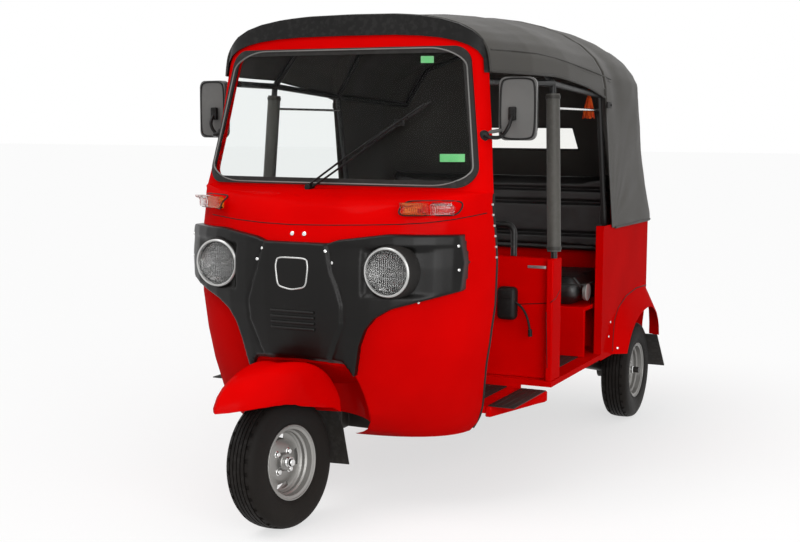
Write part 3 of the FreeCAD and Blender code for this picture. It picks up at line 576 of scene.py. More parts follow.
def hexHead(place, direction, radius, height):
    # A nut or bolt head with a turned washer under it
    nut = bmesh.new()
    bmesh.ops.create_cone(nut, cap_ends=True, segments=6, radius1=radius, radius2=radius, depth=height)
    bmesh.ops.bevel(nut, geom=nut.edges[:], offset=radius * 0.08, offset_type="OFFSET", affect="EDGES",
                    segments=1, profile=0.5, material=-1)
    placed(nut, Matrix.Translation((height / 2.0, 0.0, 0.0)) @ Matrix.Rotation(math.radians(90.0), 4, "Y"))
    washer = spun([(-0.002, 0.0), (-0.002, radius * 1.35), (0.001, radius * 1.35), (0.0016, radius * 1.2),
                   (0.0016, 0.0)], 24)
    return placed(together((nut, washer)), aimed(place, direction))


def seenAt(surface, across, down):
    # Where the camera's line through a point of the picture meets a surface
    wide, high = view["picture"]
    focal = view["lens"] / view["sensor"] * wide
    ahead = Vector(((across - wide / 2.0) / focal, (high / 2.0 - down) / focal, -1.0))
    aim = scene.camera.matrix_world.to_3x3() @ ahead
    return surface.ray_cast(Vector(view["place"]), aim.normalized())[:2]


def seenLine(surface, marks, steps=10, lift=0.0):
    # Points on a surface along a line drawn in the picture
    points = []
    for (x0, y0), (x1, y1) in zip(marks, marks[1:]):
        for step in range(steps):
            share = step / steps
            place, normal = seenAt(surface, x0 + (x1 - x0) * share, y0 + (y1 - y0) * share)
            if place:
                points.append(place + normal * lift)
    place, normal = seenAt(surface, *marks[-1])
    return points + ([place + normal * lift] if place else [])


def held(value, low=0.0, high=1.0):
    return min(max(value, low), high)


def eased(value):
    value = held(value)
    return value * value * (3.0 - 2.0 * value)


def between(table, at):
    # A value read off a table of (place, value) pairs in rising order
    for (x0, y0), (x1, y1) in zip(table, table[1:]):
        if at <= x1:
            return y0 + (y1 - y0) * held((at - x0) / (x1 - x0))
    return table[-1][1]


def walked(corners, shares):
    # Points at the same shares of every side of a closed outline
    return [(x0 + (x1 - x0) * share, z0 + (z1 - z0) * share)
            for (x0, z0), (x1, z1) in zip(corners, corners[1:] + corners[:1]) for share in shares]


def smoothed(bm, factor, turns=1):
    for _ in range(turns):
        bmesh.ops.smooth_vert(bm, verts=bm.verts, factor=factor, use_axis_x=True, use_axis_y=True,
                              use_axis_z=True)


def applied(thing):
    # The object's mesh with its modifiers applied; the object goes
    bpy.context.view_layer.update()
    graph = bpy.context.evaluated_depsgraph_get()
    mesh = bpy.data.meshes.new_from_object(thing.evaluated_get(graph))
    bpy.data.objects.remove(thing)
    return bmeshFrom(mesh)


def remeshed(bm, voxel):
    # A closed shape remade with even small faces
    shell = linkObject("shell", meshFrom(bm, "shell"))
    change = shell.modifiers.new("even", "REMESH")
    change.mode = "VOXEL"
    change.voxel_size = voxel
    return applied(shell)


# Wheels: ribbed tyres, steel discs with four slots, drums and nuts
wheel = {"steps": 96, "slotHalf": 17.0, "boltCircle": 0.039, "boltRadius": 0.0085,
         "steerFoot": (0.0, -1.1325, 0.0), "rake": 29.0, "restTurn": -9.5, "rearHub": (0.546, 0.9625, 0.207),
         "frontHub": (0.0, -1.0375, 0.20926),
         "axleNuts": ((-0.100, -1.0, 0.014, 0.012), (0.0425, 1.0, 0.012, 0.009))}


def turnOf(point):
    return math.degrees(math.atan2(point.y, point.z)) % 360.0


def tyreMesh():
    half = [(0.0016, 0.2012), (0.0022, 0.2068), (0.0118, 0.2067), (0.0126, 0.2008), (0.0154, 0.2008),
            (0.0162, 0.2063), (0.0262, 0.2056), (0.0270, 0.1998), (0.0298, 0.1996), (0.0307, 0.2047),
            (0.0395, 0.2024), (0.0470, 0.1975), (0.0525, 0.1885), (0.0550, 0.1800), (0.0562, 0.1690),
            (0.0565, 0.1590), (0.0556, 0.1450), (0.0532, 0.1340), (0.0512, 0.1275), (0.0500, 0.1268),
            (0.0485, 0.1215), (0.0465, 0.1165), (0.0440, 0.1090), (0.0420, 0.1045)]
    inner = [(0.0360, 0.1065), (0.0400, 0.1250), (0.0470, 0.1500), (0.0478, 0.1690), (0.0420, 0.1870),
             (0.0250, 0.1940)]
    loop = [(-a, r) for a, r in reversed(half)] + half + inner + [(-a, r) for a, r in reversed(inner)]
    bm = spun(loop, wheel["steps"])
    blocks = []
    for face in bm.faces:
        middle = face.calc_center_median()
        number = int(turnOf(middle) / 360.0 * wheel["steps"])
        if 0.0325 < abs(middle.x) < 0.0385 and number % 3 == 0 and middle.yz.length > 0.2:
            blocks.append(face)
    bmesh.ops.inset_individual(bm, faces=blocks, thickness=0.0012, depth=-0.0035)
    return bm


def quarterOf(edge):
    middle = (edge.verts[0].co + edge.verts[1].co) / 2.0
    return int(((turnOf(middle) + 45.0) % 360.0) / 90.0)


def discMesh():
    front = [(0.0120, 0.0965), (0.0100, 0.0935), (0.0040, 0.0900), (0.0020, 0.0860), (0.0030, 0.0690),
             (0.0075, 0.0610), (0.0110, 0.0550), (0.0115, 0.0290), (0.0240, 0.0270), (0.0270, 0.0240),
             (0.0275, 0.0150), (0.0275, 0.0)]
    back = [(0.0060, 0.0), (0.0060, 0.0520), (-0.0020, 0.0690), (-0.0025, 0.0860), (0.0020, 0.0965)]
    disc = spun(front + back, wheel["steps"])
    cut = []
    for face in disc.faces:
        middle = face.calc_center_median()
        off = abs((turnOf(middle) + 45.0) % 90.0 - 45.0)
        if 0.072 < middle.yz.length < 0.083 and off < wheel["slotHalf"]:
            cut.append(face)
    bmesh.ops.delete(disc, geom=cut, context="FACES")
    for quarter in range(4):
        rims = [edge for edge in disc.edges if edge.is_boundary and quarterOf(edge) == quarter]
        bmesh.ops.bridge_loops(disc, edges=rims)
    bmesh.ops.recalc_face_normals(disc, faces=disc.faces)
    return disc


def rimMesh():
    outer = [(-0.0480, 0.1165), (-0.0455, 0.1175), (-0.0430, 0.1065), (-0.0240, 0.1042), (-0.0200, 0.0992)]
    inner = [(0.0470, 0.1120), (0.0440, 0.1035), (0.0270, 0.1012), (0.0225, 0.0955)]
    loop = outer + [(-a, r) for a, r in reversed(outer)] + inner + [(-a, r) for a, r in reversed(inner)]
    barrel = spun(loop, wheel["steps"])
    ring = spun([(0.0475, 0.1120), (0.0500, 0.1135), (0.0505, 0.1155), (0.0495, 0.1172), (0.0470, 0.1165)],
                wheel["steps"])
    return together((barrel, ring, discMesh()))


def nutsMesh():
    turns = [math.radians(45.0 + 90.0 * step) for step in range(4)]
    spots = [(0.0115, wheel["boltCircle"] * math.sin(turn), wheel["boltCircle"] * math.cos(turn)) for turn in turns]
    nuts = [hexHead(spot, (1.0, 0.0, 0.0), wheel["boltRadius"], 0.009) for spot in spots]
    cap = spun([(0.020, 0.0), (0.020, 0.0165), (0.034, 0.0160), (0.037, 0.0130), (0.038, 0.0)], 32)
    return together(nuts + [cap])


def drumMesh():
    ribs = [(-0.0440, 0.0), (-0.0440, 0.0560), (-0.0400, 0.0740), (-0.0330, 0.0750), (-0.0325, 0.0700),
            (-0.0285, 0.0700), (-0.0280, 0.0750), (-0.0210, 0.0750), (-0.0205, 0.0700), (-0.0165, 0.0700),
            (-0.0160, 0.0750), (-0.0090, 0.0740), (-0.0040, 0.0680), (-0.0035, 0.0)]
    return spun(ribs, 64)


def addWheel(body, label, place):
    addPiece(label + "Tyre", placed(tyreMesh(), place), "tyreRubber", body=body, angle=32.0,
             cadNodes=(tyreNode[body],))
    addPiece(label + "Rim", placed(rimMesh(), place), "silverPaint", body=body, angle=32.0,
             cadNodes=(rimNode[body],))
    addPiece(label + "Nuts", placed(nutsMesh(), place), "brightMetal", "silver_rim", body, 30.0)
    addPiece(label + "Drum", placed(drumMesh(), place), "castMetal", "engine_metal", body, 30.0)


def atSteerRest(matrix):
    foot = Vector(wheel["steerFoot"])
    way = Vector((0.0, math.sin(math.radians(wheel["rake"])), math.cos(math.radians(wheel["rake"]))))
    return Matrix.Translation(foot) @ turned(way, wheel["restTurn"]) @ Matrix.Translation(-foot) @ matrix


tyreNode = {"front_wheel": "front_tyre", "rear_left_wheel": "rear_left_tyre",
            "rear_right_wheel": "rear_right_tyre"}
rimNode = {"front_wheel": "front_rim", "rear_left_wheel": "rear_left_rim",
           "rear_right_wheel": "rear_right_rim"}
leftHub = Vector(wheel["rearHub"])
rightHub = Vector((-leftHub.x, leftHub.y, leftHub.z))
frontAxle = atSteerRest(Matrix.Translation(wheel["frontHub"]))
addWheel("rear_left_wheel", "rearLeft", Matrix.Translation(leftHub))
addWheel("rear_right_wheel", "rearRight", Matrix.Translation(rightHub) @ turned("Z", 180.0))
addWheel("front_wheel", "front", frontAxle)
axleEnds = together([hexHead((along, 0.0, 0.0), (way, 0.0, 0.0), radius, height)
                     for along, way, radius, height in wheel["axleNuts"]])
addPiece("frontAxleNuts", placed(axleEnds, frontAxle), "brightMetal", "black_steel", "steering", 30.0)
print("wheels ready")


# Soft top: one cloth sheet pulled over the hoops, its rear rows fanned about a line at the foot of its side curtains
softTop = {"rows": 150, "columns": 132, "rays": 260, "foreRows": 78, "lean": 10.83, "hinge": (0.5025, 0.8565),
           "lastTurn": -0.35, "thick": 0.0024,
           "eave": ((-0.5585, 1.4262), (-0.109, 1.4265), (0.200, 1.3988), (0.404, 1.3635)),
           "dips": ((-0.36, 0.11, 0.005), (0.14, 0.16, 0.006), (0.56, 0.075, 0.010), (1.0, 0.06, 0.012)),
           "ridges": ((-0.125, 0.05, 0.003), (0.404, 0.05, 0.003), (0.79, 0.07, 0.004)), "unevenness": 0.0022,
           "windowLow": (0.252, 1.147), "windowHigh": (0.222, 1.250)}
topSkin = clipSurfaces("canopy_roof", "canopy_back", "rear_window")


def archRow(start, lean):
    # The skin's outline in one plane, from the left edge over the top to the right edge
    points = []
    for step in range(softTop["rays"] + 1):
        turn = math.pi * step / softTop["rays"]
        way = Vector((math.cos(turn), math.sin(turn) * lean.y, math.sin(turn) * lean.z))
        place = topSkin.ray_cast(start + way * 2.5, -way)[0]
        if place and (place - start).length > 0.08:
            points.append(place)
    lengths = [0.0]
    for first, second in zip(points, points[1:]):
        lengths.append(lengths[-1] + (second - first).length)
    return points, lengths


def evenRow(points, lengths):
    # The same outline with its points evenly spaced
    row, index = [], 0
    for step in range(softTop["columns"] + 1):
        wanted = lengths[-1] * step / softTop["columns"]
        while index < len(lengths) - 2 and lengths[index + 1] < wanted:
            index += 1
        share = (wanted - lengths[index]) / max(lengths[index + 1] - lengths[index], 1e-9)
        row.append(points[index].lerp(points[index + 1], held(share)))
    return row


def topRows():
    rows, fore = [], softTop["foreRows"]
    hingeY, hingeZ = softTop["hinge"]
    for step in range(softTop["rows"] + 1):
        if step <= fore:
            share = step / fore
            y = softTop["eave"][0][0] + (softTop["eave"][-1][0] - softTop["eave"][0][0]) * share
            start = Vector((0.0, y, between(softTop["eave"], y) + 0.0008))
            turn = math.radians(90.0 + softTop["lean"] * share)
        else:
            share = (step - fore) / (softTop["rows"] - fore)
            start = Vector((0.0, hingeY, hingeZ))
            turn = math.radians((90.0 + softTop["lean"]) * (1.0 - share) + softTop["lastTurn"] * share)
        rows.append(archRow(start, Vector((0.0, math.cos(turn), math.sin(turn)))))
    return rows


def clothGive(point, share, crossing):
    # How far the cloth lies below its hoops at a point
    high = eased(min(share, 1.0 - share) * 5.0) * eased((point.z - 1.25) / 0.2)
    give = sum(depth * math.exp(-((point.y - y) / width) ** 2) for y, width, depth in softTop["dips"])
    give -= sum(depth * math.exp(-((point.y - y) / width) ** 2) for y, width, depth in softTop["ridges"])
    folds = perlin.noise(Vector((crossing * 0.09, share * 2.4, 3.0))) * 0.0030 * eased((1.35 - point.z) / 0.3)
    folds *= eased(min(share, 1.0 - share) * 12.0)
    uneven = perlin.noise(point * 5.0) * softTop["unevenness"] * eased(min(share, 1.0 - share) * 8.0)
    return give * high + folds + uneven + 0.0012


def topMesh():
    rows = topRows()
    even = [evenRow(*row) for row in rows]
    columns, count = softTop["columns"], softTop["rows"]
    bm = bmesh.new()
    cloth = bm.loops.layers.uv.new("clothMap")
    bmesh.ops.create_grid(bm, x_segments=columns, y_segments=count, size=1.0)
    spots = {vert: (round((vert.co.x + 1.0) * columns / 2.0), round((vert.co.y + 1.0) * count / 2.0))
             for vert in bm.verts}
    middle = [0.0]
    for first, second in zip(even, even[1:]):
        middle.append(middle[-1] + (second[columns // 2] - first[columns // 2]).length)
    for vert, (column, row) in spots.items():
        vert.co = even[row][column]
    for face in bm.faces:
        for loop in face.loops:
            column, row = spots[loop.vert]
            loop[cloth].uv = ((column / columns - 0.5) * rows[row][1][-1], middle[row])
    bm.normal_update()
    if max(bm.verts, key=lambda vert: vert.co.z).normal.z < 0.0:
        bmesh.ops.reverse_faces(bm, faces=bm.faces)
        bm.normal_update()
    for vert, (column, row) in spots.items():
        vert.co -= vert.normal * clothGive(vert.co, column / columns, float(row))
    return bm, even


def cutWindow(bm):
    (lowX, lowZ), (highX, highZ) = softTop["windowLow"], softTop["windowHigh"]
    slope = (lowX - highX) / (highZ - lowZ)
    for place, facing in (((0.0, 1.2, lowZ), (0.0, 0.0, 1.0)), ((0.0, 1.2, highZ), (0.0, 0.0, 1.0)),
                          ((lowX, 1.2, lowZ), (1.0, 0.0, slope)), ((-lowX, 1.2, lowZ), (1.0, 0.0, -slope))):
        middles = {face: face.calc_center_median() for face in bm.faces}
        near = [face for face, spot in middles.items() if spot.y > 1.0 and 1.08 < spot.z < 1.32
                and abs(spot.x) < 0.3]
        edges = {edge for face in near for edge in face.edges}
        verts = {vert for face in near for vert in face.verts}
        bmesh.ops.bisect_plane(bm, geom=list(verts) + list(edges) + near, dist=0.000001, plane_co=place,
                               plane_no=facing)
    hole = []
    for face in bm.faces:
        spot = face.calc_center_median()
        if spot.y > 1.0 and lowZ < spot.z < highZ and abs(spot.x) < lowX - slope * (spot.z - lowZ):
            hole.append(face)
    bmesh.ops.delete(bm, geom=hole, context="FACES")


topCloth, topLines = topMesh()
cutWindow(topCloth)
bmesh.ops.remove_doubles(topCloth, verts=topCloth.verts, dist=0.00002)
topSheet = addPiece("softTop", topCloth, "canopyCanvas", angle=80.0, cadNodes=("canopy_roof", "canopy_back"))
clothWall = topSheet.modifiers.new("clothWall", "SOLIDIFY")
clothWall.thickness = softTop["thick"]
clothWall.offset = -1.0
topTree = clipSurfaces("canopy_roof", "canopy_back", "rear_window", "roof_visor")


def sunk(points, depth=0.0012):
    # Piping lies in the cloth, a little below the skin that it was measured on
    return [Vector((point.x * (1.0 - depth), point.y, point.z - depth)) for point in points]


def windowEdge():
    (lowX, lowZ), (highX, highZ) = softTop["windowLow"], softTop["windowHigh"]
    corners = [(-lowX, lowZ), (lowX, lowZ), (highX, highZ), (-highX, highZ)]
    return [nextTo(topSkin, (x, 3.0, z), (0.0, -1.0, 0.0))[0]
            for x, z in walked(corners, [step / 12.0 for step in range(12)])]


seamSpots = [(491, 49), (514, 50.5), (537, 53), (555, 57.5), (572, 63), (590, 70), (611, 79)]
sideSeam = sunk(seenLine(topTree, seamSpots, 4))
frontEdge = sunk(topLines[0][::4])
hoodRow = topLines[softTop["foreRows"]]
leftEdge = [row[0] for row in topLines[:softTop["foreRows"] + 1:6]]
curtainEdge = [point for point in hoodRow[:60] if point.z < 1.40][::3]
lowEdge = topLines[-1][2:-2:4]
pipings = {
    "frontPiping": bar(frontEdge, 0.0042),
    "roofSeamPiping": withTwin(bar(sideSeam, 0.0026)),
    "roofSeamStitch": withTwin(bar([point - Vector((0.0, 0.0, 0.012)) for point in sideSeam], 0.0012)),
    "eaveHem": withTwin(bar(sunk(leftEdge), 0.0045)),
    "curtainBinding": withTwin(bar(sunk(curtainEdge), 0.0065)),
    "lowerHem": bar(sunk(lowEdge), 0.0048),
    "windowBinding": bar(windowEdge(), 0.0058, cyclic=True),
}
for label, shape in pipings.items():
    addPiece(label, shape, "topPiping", "canopy_cloth")
windowSheet = dressNode("rear_window", "clearVinyl")


def hoodStraps():
    # A short strap with a press stud holds each curtain at its top corner
    place, facing = nextTo(topSkin, (2.0, 0.46, 1.335), (-1.0, 0.0, 0.0))
    strap = block((-0.012, -0.045, -0.002), (0.012, 0.010, 0.002), 0.0012)
    placed(strap, Matrix.Translation(place + facing * 0.004) @ turned("Y", 90.0))
    return withTwin(together((strap, studHead(place + facing * 0.007, facing, 0.005))))


addPiece("hoodStraps", hoodStraps(), "blackRubber", "rubber")
print("soft top ready")


# Seats: swollen by the cloth simulation, then seams and sewn channels
seats = {"voxel": 0.0085, "pressure": 4.0, "reach": 0.024, "frames": 20, "slack": 0.012, "inside": 0.0006,
         "creases": ((16.0, 0.0016), (45.0, 0.0005))}


def swollen(bm, low, high):
    # Pumped up under vinyl, held inside the space of its solid
    even = remeshed(bm, seats["voxel"])
    mesh = bpy.data.meshes.new("padStart")
    even.to_mesh(mesh)
    pad = linkObject("padStart", mesh)
    cloth = pad.modifiers.new("swell", "CLOTH")
    cloth.settings.quality = 4
    cloth.settings.use_pressure = True
    cloth.settings.uniform_pressure_force = seats["pressure"]
    cloth.settings.effector_weights.gravity = 0.0
    cloth.point_cache.frame_start = 1
    cloth.point_cache.frame_end = seats["frames"]
    for frameNumber in range(1, seats["frames"] + 1):
        scene.frame_set(frameNumber)
    swelled = applied(pad)
    for vert, moved in zip(even.verts, swelled.verts):
        step = moved.co - vert.co
        if step.length > seats["reach"]:
            step = step.normalized() * seats["reach"]
        vert.co += step
    swelled.free()
    bpy.data.meshes.remove(mesh)
    scene.frame_set(1)
    smoothed(even, 0.5)
    room = seats["inside"]
    for vert in even.verts:
        vert.co = [held(value, least + room, most - room) for value, least, most in zip(vert.co, low, high)]
    return even


def seatPad(name, node, rounding, grooves):
    # grooves: axis across the channel, its place, depth and half width, and the way its face looks
    low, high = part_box(node)
    gap = seats["slack"]
    start = block([value + gap for value in low], [value - gap for value in high], rounding, 3)
    pad = linkObject("padFine", meshFrom(swollen(start, low, high), "padFine"))
    pad.modifiers.new("finer", "SUBSURF").levels = 1
    bm = applied(pad)
    bm.normal_update()
    for vert in bm.verts:
        sink = sum(perlin.noise(vert.co * scale) * depth for scale, depth in seats["creases"])
        for axis, at, depth, width, front in grooves:
            if vert.normal.dot(Vector(front)) > 0.25:
                sink += depth * math.exp(-((vert.co["xyz".index(axis)] - at) / width) ** 2)
        vert.co -= vert.normal * sink
    piece = addPiece(name, bm, "seatVinyl", angle=180.0, cadNodes=(node,))


rearFace, upFace = (0.0, -1.0, 0.0), (0.0, 0.0, 1.0)
rolls = [("z", 0.990, 0.012, 0.006, rearFace), ("z", 0.935, 0.014, 0.007, rearFace),
         ("z", 0.800, 0.014, 0.007, rearFace), ("z", 0.745, 0.012, 0.006, rearFace)]
benchSeams = [("x", 0.0, 0.006, 0.005, upFace), ("y", 0.375, 0.010, 0.006, upFace),
              ("x", 0.28, 0.005, 0.005, upFace), ("x", -0.28, 0.005, 0.005, upFace)]
seatPad("benchBackrest", "passenger_backrest", 0.024, rolls)
seatPad("benchCushion", "passenger_cushion", 0.040, benchSeams)
seatPad("driverCushion", "driver_cushion", 0.024,
        [("x", 0.13, 0.006, 0.005, upFace), ("x", -0.13, 0.006, 0.005, upFace)])
seatPad("driverBackrest", "driver_backrest", 0.016,
        [("x", 0.10, 0.006, 0.005, rearFace), ("x", -0.10, 0.006, 0.005, rearFace)])


def seatPiping():
    # Welted seams round the top of the bench cushion and the driver's cushion
    parts = []
    for node, drop, inset in (("passenger_cushion", 0.022, 0.0035), ("driver_cushion", 0.020, 0.003)):
        low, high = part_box(node)
        z = high[2] - drop
        corners = [(low[0] + inset, low[1] + inset), (high[0] - inset, low[1] + inset),
                   (high[0] - inset, high[1] - inset), (low[0] + inset, high[1] - inset)]
        line = [Vector((x, y, z)) for x, y in walked(corners, (0.06, 0.25, 0.5, 0.75, 0.94))]
        parts.append(bar(line, 0.0032, cyclic=True))
    return together(parts)


addPiece("seatPiping", seatPiping(), "blackRubber", "seat_cover")
benchLow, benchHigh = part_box("passenger_cushion")
endDisc = spun([(-0.012, 0.0), (-0.012, 0.033), (0.0, 0.034), (0.0018, 0.031), (0.001, 0.026),
                (0.0022, 0.022), (0.0014, 0.012), (0.0024, 0.0)], 48)
placed(endDisc, Matrix.Translation((benchHigh[0] - 0.0022, benchLow[1] + 0.072, 0.614)))
addPiece("benchEndDiscs", withTwin(endDisc), "silverPaint", "chrome")
print("seats ready")


# Front bezel: moulded panel with a raised middle and a pocket round each lamp
bezel = {"voxel": 0.0045, "rise": 0.007, "pocket": 0.013, "lampX": 0.307, "lampZ": 0.807, "lampRadius": 0.076,
         "creases": ((0.53, 0.120), (0.60, 0.148), (0.64, 0.165), (0.70, 0.167), (0.76, 0.150), (0.80, 0.133),
                     (0.87, 0.117), (0.91, 0.104)), "creaseWidth": 0.010, "brow": 0.005}


def bezelForm(point):
    # How far the moulding stands out (or in) at a place seen from the front
    x, z = abs(point.x), point.z
    inside = between(bezel["creases"], z) - x
    panel = eased(inside / bezel["creaseWidth"] + 0.5)
    groove = math.exp(-((inside + 0.004) / 0.004) ** 2) * 0.004
    tall = eased((z - 0.722) / 0.02) * eased((0.884 - z) / 0.02)
    wide = eased((x - 0.222) / 0.014) * eased((0.455 - x) / 0.09)
    brow = eased((z - 0.878) / 0.012) * eased((x - 0.12) / 0.05)
    return bezel["rise"] * panel - groove - bezel["pocket"] * tall * wide + bezel["brow"] * brow


def bezelMesh():
    bm = remeshed(nodeMesh("front_bezel"), bezel["voxel"])
    smoothed(bm, 0.5)
    bm.normal_update()
    for vert in bm.verts:
        facing = held(-vert.normal.y * 2.0)
        shift = bezelForm(vert.co) * facing
        vert.co += Vector((0.0, -shift, 0.0))
    smoothed(bm, 0.4, 2)
    return bm


bezelPiece = addPiece("frontBezel", bezelMesh(), "satinBlack", angle=50.0, cadNodes=("front_bezel",))
bezelFront = bmesh.new()
bezelFront.from_mesh(bezelPiece.data)
bezelTree = treeOf(bezelFront)
cowlTree = clipSurfaces("front_cowl")
frameTree = clipSurfaces("windscreen_frame")


def onFront(surface, x, z):
    return nextTo(surface, (x, -2.5, z), (0.0, 1.0, 0.0))


def lampParts(side):
    # Ring, bowl and fluted glass on one axis that looks forwards
    r = bezel["lampRadius"]
    middle = (side * bezel["lampX"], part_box("headlamps")[0][1], bezel["lampZ"])
    place = Matrix.Translation(middle) @ turned("Z", -90.0)
    ring = spun([(-0.016, r - 0.001), (-0.004, r + 0.0015), (0.003, r + 0.001), (0.006, r - 0.002),
                 (0.0055, r - 0.0055), (0.001, r - 0.0075), (-0.004, r - 0.0075), (-0.016, r - 0.0055)])
    seat = spun([(-0.052, r - 0.006), (-0.052, r + 0.014), (-0.030, r + 0.011), (-0.014, r + 0.0065),
                 (-0.006, r + 0.0050), (-0.002, r + 0.003), (-0.002, r - 0.002)])
    bowl = spun([(-0.006, r - 0.008), (-0.018, r * 0.78), (-0.026, r * 0.5), (-0.029, r * 0.2), (-0.029, 0.0),
                 (-0.032, 0.0), (-0.032, r * 0.25), (-0.029, r * 0.55), (-0.020, r * 0.85),
                 (-0.012, r - 0.005)])
    bulb = spun([(-0.030, 0.0), (-0.030, 0.009), (-0.020, 0.0085), (-0.014, 0.007), (-0.010, 0.004),
                 (-0.009, 0.0)], 24)
    glass = spun([(0.011, 0.0), (0.0105, 0.020), (0.0085, 0.042), (0.004, 0.060), (0.000, r - 0.009),
                  (-0.004, r - 0.009), (0.0005, 0.058), (0.005, 0.040), (0.007, 0.020), (0.0075, 0.0)])
    return [placed(shape, place) for shape in (ring, seat, bowl, bulb, glass)]


lamps = [together(pair) for pair in zip(lampParts(1.0), lampParts(-1.0))]
lampLooks = (("lampRings", "satinSilver", "chrome"), ("lampSeats", "blackRubber", "rubber"),
             ("lampBowls", "lampMirror", "chrome"), ("lampBulbs", "clearLens", "lamp_lens"))
for lamp, (label, finish, slotName) in zip(lamps, lampLooks):
    addPiece(label, lamp, finish, slotName)
addPiece("lampGlasses", lamps[4], "lampGlass", cadNodes=("headlamps",))
badge = {"corners": [(-0.052, 0.842), (0.052, 0.842), (0.058, 0.815), (0.050, 0.752), (0.0, 0.742),
                     (-0.050, 0.752), (-0.058, 0.815)], "shares": (0.15, 0.5, 0.85), "wire": 0.0028}
grille = {"rows": (0.673, 0.655, 0.637, 0.619), "half": 0.078, "wire": 0.0048}


def badgeMesh():
    # A plain ring round a bare field, where such a vehicle carries a badge
    found = [onFront(bezelTree, x, z) for x, z in walked(badge["corners"], badge["shares"])]
    return bar([place + normal * 0.001 for place, normal in found], badge["wire"], cyclic=True)


def grilleMesh():
    parts = []
    for z in grille["rows"]:
        places = [onFront(bezelTree, -grille["half"] + 2.0 * grille["half"] * step / 8.0, z)[0]
                  for step in range(9)]
        parts.append(bar([place + Vector((0.0, -0.001, 0.0)) for place in places], grille["wire"]))
    return together(parts)


def studsAt(surface, spots, radius, mirror=False):
    parts = []
    for across, down in spots:
        place, normal = seenAt(surface, across, down)
        if place:
            parts.append(studHead(place + normal * 0.0005, normal, radius))
    return withTwin(together(parts)) if mirror else together(parts)


addPiece("badgeRing", badgeMesh(), "satinSilver", "chrome")
addPiece("grilleSlats", grilleMesh(), "mouldedBlack", "black_plastic")
studs = {
    "bezelScrews": (bezelTree, ((458.5, 246), (459, 270), (262, 248), (332, 263)), 0.0052, True),
    "cowlStuds": (cowlTree, ((292.5, 233.5), (304.5, 234)), 0.0078),
    "cowlScrews": (cowlTree, ((418.5, 302.5),), 0.0045, True),
}
for label, values in studs.items():
    addPiece(label, studsAt(*values), "brightMetal", "chrome")

# Cowl: a dark bar painted as the shade in the pressed seam, edge bead and catches
seamShadeMarks = [(213, 214.5), (235, 219), (262, 222.5), (292, 224.6), (330, 225.2), (370, 225.0), (400, 224.4),
             (428, 222.8), (452, 219.8), (472, 216.2), (487, 213)]
bothScreens = clipSurfaces("front_cowl", "windscreen_frame")
# A dark bar along the pressed seam is painted shade
addPiece("cowlSeamShade", bar(seenLine(bothScreens, seamShadeMarks, 4, -0.0004), 0.0017), "paintedGrooveShade", "black_plastic")
cowlRim = {"low": 0.262, "high": 1.040, "steps": 23, "from": -0.500, "stride": 0.002, "tries": 90}


def cowlEdge():
    # Rear free edge of the cowl's left side, from the sill to the screen pillar
    points = []
    for step in range(cowlRim["steps"] + 1):
        z = cowlRim["low"] + (cowlRim["high"] - cowlRim["low"]) * step / cowlRim["steps"]
        for ahead in range(cowlRim["tries"]):
            y = cowlRim["from"] - ahead * cowlRim["stride"]
            place = nextTo(cowlTree, (2.0, y, z), (-1.0, 0.0, 0.0))[0]
            if place and place.x > 0.40:
                points.append(place)
                break
    return points


edgeLine = cowlEdge()
edgeBead = bar([point + Vector((0.0, 0.002, 0.0)) for point in edgeLine], 0.0045)
addPiece("cowlEdgeSeal", withTwin(edgeBead), "blackRubber", "rubber")
catchParts = [studHead(point + Vector((0.003, -0.004, 0.0)), (1.0, 0.1, 0.0), 0.0042)
              for point in edgeLine[17:23]]
addPiece("cowlCatches", withTwin(together(catchParts)), "satinSilver", "chrome")

# Windscreen: a grey bar painted on the seal as its highlight, stickers, wiper and indicators
sealTree = clipSurfaces("windscreen_seal", "windscreen_glass")
seal = {"corners": [(-0.506, 1.058), (0.506, 1.058), (0.437, 1.507), (-0.437, 1.507)],
        "middle": (0.0, 1.2825), "half": 0.45, "inset": 0.012,
        "shares": (0.09, 0.2, 0.35, 0.5, 0.65, 0.8, 0.91), "wire": 0.0026}


def sealLine():
    # The opening's outline, followed round on the seal, for the bar of painted highlight
    middle = Vector(seal["middle"])
    points = []
    for corner in walked(seal["corners"], seal["shares"]):
        spot = middle + (Vector(corner) - middle) * (1.0 - seal["inset"] / seal["half"])
        place = onFront(sealTree, spot.x, spot.y)[0]
        if place:
            points.append(place + Vector((0.0, -0.001, 0.0)))
    return points


# A grey bar round the seal is its painted highlight
addPiece("sealHighlightBar", bar(sealLine(), seal["wire"], cyclic=True), "sealHighlightGrey", "rubber")
glassTree = clipSurfaces("windscreen_glass")


def sticker(x0, y0, x1, y1):
    # A plain film on the glass between two points of the picture
    corners = [seenAt(glassTree, *spot)[0] for spot in ((x0, y0), (x1, y0), (x1, y1), (x0, y1))]
    bm = bmesh.new()
    bm.faces.new([bm.verts.new(corner + Vector((0.0, -0.0012, 0.0))) for corner in corners])
    bmesh.ops.subdivide_edges(bm, edges=bm.edges[:], cuts=3, use_grid_fill=True)
    bmesh.ops.solidify(bm, geom=bm.faces[:], thickness=0.0006)
    bmesh.ops.recalc_face_normals(bm, faces=bm.faces)
    return bm


stickers = together((sticker(421, 56, 434, 63), sticker(440, 154, 465, 162)))
addPiece("screenStickers", stickers, "greenFilm", "bare_plate")
wiper = {"pivot": (-0.070, -0.733, 1.050), "tip": (0.318, -0.659, 1.322), "arm": 0.0034, "blade": 0.0042,
         "bladeSpan": (0.47, 0.55, 0.65, 0.75, 0.85, 0.95, 1.02)}


